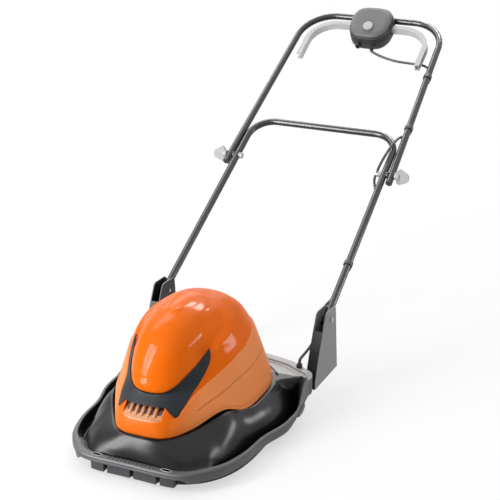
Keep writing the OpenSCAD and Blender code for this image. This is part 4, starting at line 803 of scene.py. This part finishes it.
def make_deck():
    """The deck's skin from the hem over the rim, down to the trough and up the hump to the spindle's eye."""
    n = len(rim_plan)
    eye = rim_plan / np.linalg.norm(rim_plan, axis=1, keepdims=True) * EYE_D / 2
    band = [hem_ring(HEM_INSET, 0), hem_ring(BAND_INSET, HEM_ROUND)]
    band += [rim_ring(inset, inset, inset, drop) for inset, drop in BAND]
    over = [*(rim_ring(*ring) for ring in RIM_TOP), floor_ring(*RIM_FOOT), floor_ring(*TROUGH_INSET, 0),
            *(hump_ring(*step) for step in HUMP_LINE),
            np.column_stack([crown_line(CROWN_EDGE - FLAT_IN), np.full(n, CROWN_H)]),
            np.column_stack([eye, np.full(n, CROWN_H)])]
    high = open_spline(np.array(over).reshape(len(over), -1), OVER_STEPS).reshape(-1, n, 3)
    rows = np.concatenate([band, high])
    points, faces = rows.reshape(-1, 3), grid_faces(len(rows), n, close_cols=True)
    x, y, z = points[faces].mean(1).T
    keep = ~((np.abs(x) > BRACKET_CUT_X) & (y > BRACKET_CUT_Y) & (z > BRACKET_CUT_Z))
    finishes = [BLACK, BLACK_GRAIN, TAIL_PAINTED_SHEEN]
    finish = np.where(np.arange(len(faces)) // n < len(band) + GRAINED_OVER, finishes.index(BLACK_GRAIN), 0)
    # painted pale sheen over the tail's top
    finish[(y > TAIL_TOP_Y) & (z > TAIL_TOP_Z)] = finishes.index(TAIL_PAINTED_SHEEN)
    deck = piece("deck_moulding", points, faces[keep], finishes, ["deck"], sharp=45)
    deck.data.polygons.foreach_set("material_index", finish[keep].astype(np.int32))
    walled(deck, DECK_WALL)


RIBS, RIB_PITCH, RIB_L, RIB_W, RIB_UP, RIB_LEAN, RIB_SUNK = 12, 9.6, 12, 4.2, 1.7, 0.16, 0.1
RIB_MID_Y, RIB_ROUND, NOSE_BOW = -245, 9, 3.0
# Along a rib: share of its length and of its full size
RIB_LINE = np.array([(-0.5, 0.35), (-0.42, 1), (0, 1), (0.42, 1), (0.5, 0.35)])


def make_grip_ribs():
    """Low ribs across the nose strip, where a toe holds the machine."""
    w = np.linspace(0, math.pi, RIB_ROUND)
    along, size = RIB_LINE[:, :1] * RIB_L, RIB_LINE[:, 1:]
    x = RIB_W / 2 * np.cos(w) * size + RIB_LEAN * along
    z = RIM_H - RIB_SUNK + RIB_UP * np.sin(w) * size
    rows = np.stack(np.broadcast_arrays(x, along + RIB_MID_Y, z), -1)
    faces = grid_faces(len(RIB_LINE), RIB_ROUND)
    bow = NOSE_BOW / NOSE_HALF_W ** 2
    row_of("grip_ribs", rows.reshape(-1, 3), faces, BLACK_GRAIN, RIBS, RIB_PITCH, bow)


STRIP_SLOT_X, STRIP_SLOT_Y, STRIP_SLOT_L, STRIP_SLOT_W, STRIP_SLOT_ROUND = 84, -243, 26, 10, 40
# Across a slot's lip: share of the slot's size and height over the rim; then the dark hole's
STRIP_LIP = ((1.06, -0.1), (1.0, 1.5), (0.92, 1.5), (0.85, 0.8))
STRIP_HOLE = (0.86, 0.9)


def make_strip_slots():
    """Two oval slots in the nose strip, each a dark disc of painted shade with a raised lip, pale with a
    painted sheen.
    """
    n = STRIP_SLOT_ROUND
    w = np.arange(n) / n * 2 * math.pi
    oval = np.stack([STRIP_SLOT_L / 2 * np.cos(w), STRIP_SLOT_W / 2 * np.sin(w), np.zeros(n)], -1)
    hole, lip, hole_faces, lip_faces = [], [], [], []
    for x in (-STRIP_SLOT_X, STRIP_SLOT_X):
        share, up = STRIP_HOLE
        hole_faces.append([*range(len(hole), len(hole) + n)])
        hole += [*(oval * share + [x, STRIP_SLOT_Y, RIM_H + up])]
        lip_faces += [*grid_faces(len(STRIP_LIP), n, close_cols=True, start=len(lip))]
        for share, up in STRIP_LIP:
            lip += [*(oval * share + [x, STRIP_SLOT_Y, RIM_H + up])]
    piece("strip_slots", hole, hole_faces, [BLACK_PAINTED_SHADE])
    piece("strip_slot_lips", lip, lip_faces, [TAIL_PAINTED_SHEEN])


make_deck()
make_grip_ribs()
make_strip_slots()

# Finishes on the CAD nodes that keep their own shape
FINISHES = (
    (STEEL, ("hood_screws", "spindle_housing", "lower_bearing", "upper_bearing", "housing_screws",
             "motor_plate", "motor_field", "motor_bearings", "spindle", "blade_washer", "blade_bolt",
             "motor_shaft", "driver_pulley", "pivot_pins", "bracket_screws", "lever_pins")),
    (BLADE_STEEL, ("blade",)),
    (COPPER, ("armature", "commutator")),
    (CARBON, ("carbon_brushes",)),
    (TUBE_PAINT, ("motor_shell", "lower_handle", "upper_handle")),
    (GREY_NYLON, ("motor_cap", "driven_pulley")),
    (BLACK_NYLON, ("height_spacers", "lead_gland", "pivot_bushes", "clamp_saddles", "leg_clip", "tube_caps",
                   "switch_box_base", "switch_unit", "lead_clips", "lead_outlet", "mains_inlet")),
    (BLACK, ("impeller",)),
    (RUBBER, ("drive_belt",)),
    (SKIRT_GRAIN, ("air_skirt",)),
    (BRACKET_LEFT_PAINTED_SHADE, ("left_bracket",)),
    (BRACKET_RIGHT_PAINTED_SHADE, ("right_bracket",)),
    (BOX_NYLON_PAINTED_SHADE, ("switch_box_top",)),
    (PALE, ("clamp_bolts", "left_lever", "right_lever", "lock_button", "left_knob", "right_knob")))
# Radius of the soft edges, where a moulding has them
ROUNDED = {"left_bracket": 1.6, "right_bracket": 1.6, "left_knob": 2.2, "right_knob": 2.2,
           "lock_button": 1.0, "lead_clips": 0.6, "leg_clip": 0.6, "tube_caps": 0.8, "air_skirt": 0.8}
WELD_MM, EDGE_STEPS, EDGE_ANGLE = 0.01, 3, 40


def dress(node, finish):
    """A CAD node's finish, with its edges rounded where the moulding has soft ones."""
    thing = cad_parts[node]
    thing.data.materials.clear()
    thing.data.materials.append(finish)
    if node in ROUNDED:
        weld = thing.modifiers.new("weld", "WELD")
        weld.merge_threshold = WELD_MM * MM
        edge = thing.modifiers.new("soft_edges", "BEVEL")
        edge.width = ROUNDED[node] * MM
        edge.segments = EDGE_STEPS
        edge.limit_method = "ANGLE"
        edge.angle_limit = math.radians(EDGE_ANGLE)


for finish, nodes in FINISHES:
    for node in nodes:
        dress(node, finish)

# Studio, in metres: a pale floor that runs out into a white backdrop, and large soft lights.
# The floor fades to plain white between two distances from its middle; near the machine it is partly white.
FLOOR_HALF_W, FLOOR_MID, FADE_FROM, FADE_TO, NEAR_WHITE = 40, (0, 0.5, 0), 1.0, 1.9, 0.6
BACKDROP_LIGHT = 0.09


def seen_directly(tree):
    """1 for the rays of the camera and of shiny or clear faces, 0 for those that carry light."""
    rays = add(tree, "ShaderNodeLightPath").outputs
    seen = rays["Is Camera Ray"]
    for kind in ("Is Glossy Ray", "Is Transmission Ray"):
        seen = add(tree, "ShaderNodeMath", {0: seen, 1: rays[kind]}, operation="MAXIMUM")
    return seen


def white_paper():
    """Plain paper that keeps the shadow round the machine and turns into the white backdrop further out."""
    paper = material("white_paper", "#fbfbfb", 0.9, mottle=0)
    tree = paper.node_tree
    spot = add(tree, "ShaderNodeTexCoord").outputs["Object"]
    away = add(tree, "ShaderNodeVectorMath", {0: spot, 1: FLOOR_MID}, operation="DISTANCE")
    fade = add(tree, "ShaderNodeMapRange",
               {"Value": away.outputs["Value"], "From Min": FADE_FROM, "From Max": FADE_TO,
                "To Min": NEAR_WHITE},
               interpolation_type="SMOOTHSTEP")
    share = add(tree, "ShaderNodeMath", {0: fade, 1: seen_directly(tree)}, operation="MULTIPLY")
    lit, white = tree.nodes["Principled BSDF"], add(tree, "ShaderNodeEmission")
    both = add(tree, "ShaderNodeMixShader", {0: share, 1: lit, 2: white})
    tree.links.new(both.outputs[0], tree.nodes["Material Output"].inputs["Surface"])
    return paper


def make_floor():
    mesh = bpy.data.meshes.new("floor")
    w = FLOOR_HALF_W
    mesh.from_pydata([(-w, -w, 0), (w, -w, 0), (w, w, 0), (-w, w, 0)], [], [(0, 1, 2, 3)])
    mesh.materials.append(white_paper())
    placed("floor", mesh)


def make_backdrop():
    """A world that is white where it is seen and dim as a light."""
    world = bpy.data.worlds.new("white_studio")
    world.use_nodes = True
    tree = world.node_tree
    sky = tree.nodes["Background"]
    sky.inputs["Color"].default_value = (1, 1, 1, 1)
    level = add(tree, "ShaderNodeMapRange", {"Value": seen_directly(tree), "To Min": BACKDROP_LIGHT})
    tree.links.new(level.outputs["Result"], sky.inputs["Strength"])
    bpy.context.scene.world = world


def make_light(name, place, aim, size, watts, glint=False):
    """A soft rectangular lamp; a glint lamp shows only as a reflection."""
    data = bpy.data.lights.new(name, "AREA")
    data.shape = "RECTANGLE"
    data.size, data.size_y = size
    data.energy = watts
    light = placed(name, data)
    light.visible_diffuse = not glint
    light.location = place
    light.rotation_euler = (Vector(aim) - Vector(place)).to_track_quat("-Z", "Y").to_euler()


make_floor()
make_backdrop()
KEY_PLACE, KEY_AIM = (-1.6, -2.1, 1.35), (0, -0.1, 0.25)
make_light("ceiling_softbox", (0, 3, 4.5), (0, 3, 0), (16, 16), 664)
make_light("key_softbox", KEY_PLACE, KEY_AIM, (0.6, 2.2), 57)
make_light("rear_softbox", (-1.4, 3.0, 1.3), (0, 0.1, 0.1), (2.4, 0.9), 19)
# reflections down the nose panel, on its top, along the scoop and down the tubes
make_light("key_strip", KEY_PLACE, KEY_AIM, (1.1, 2.6), 310, glint=True)
make_light("back_strip", (0.05, 2.1, 2.1), (0, 0, 0.3), (0.9, 0.3), 36, glint=True)
make_light("right_strip", (2.1, 1.1, 0.75), (0, 0.1, 0.25), (1.3, 0.28), 24, glint=True)
make_light("tube_strip", (-1.45, 1.2, 2.45), (0, 0.75, 0.45), (2.6, 0.8), 48, glint=True)
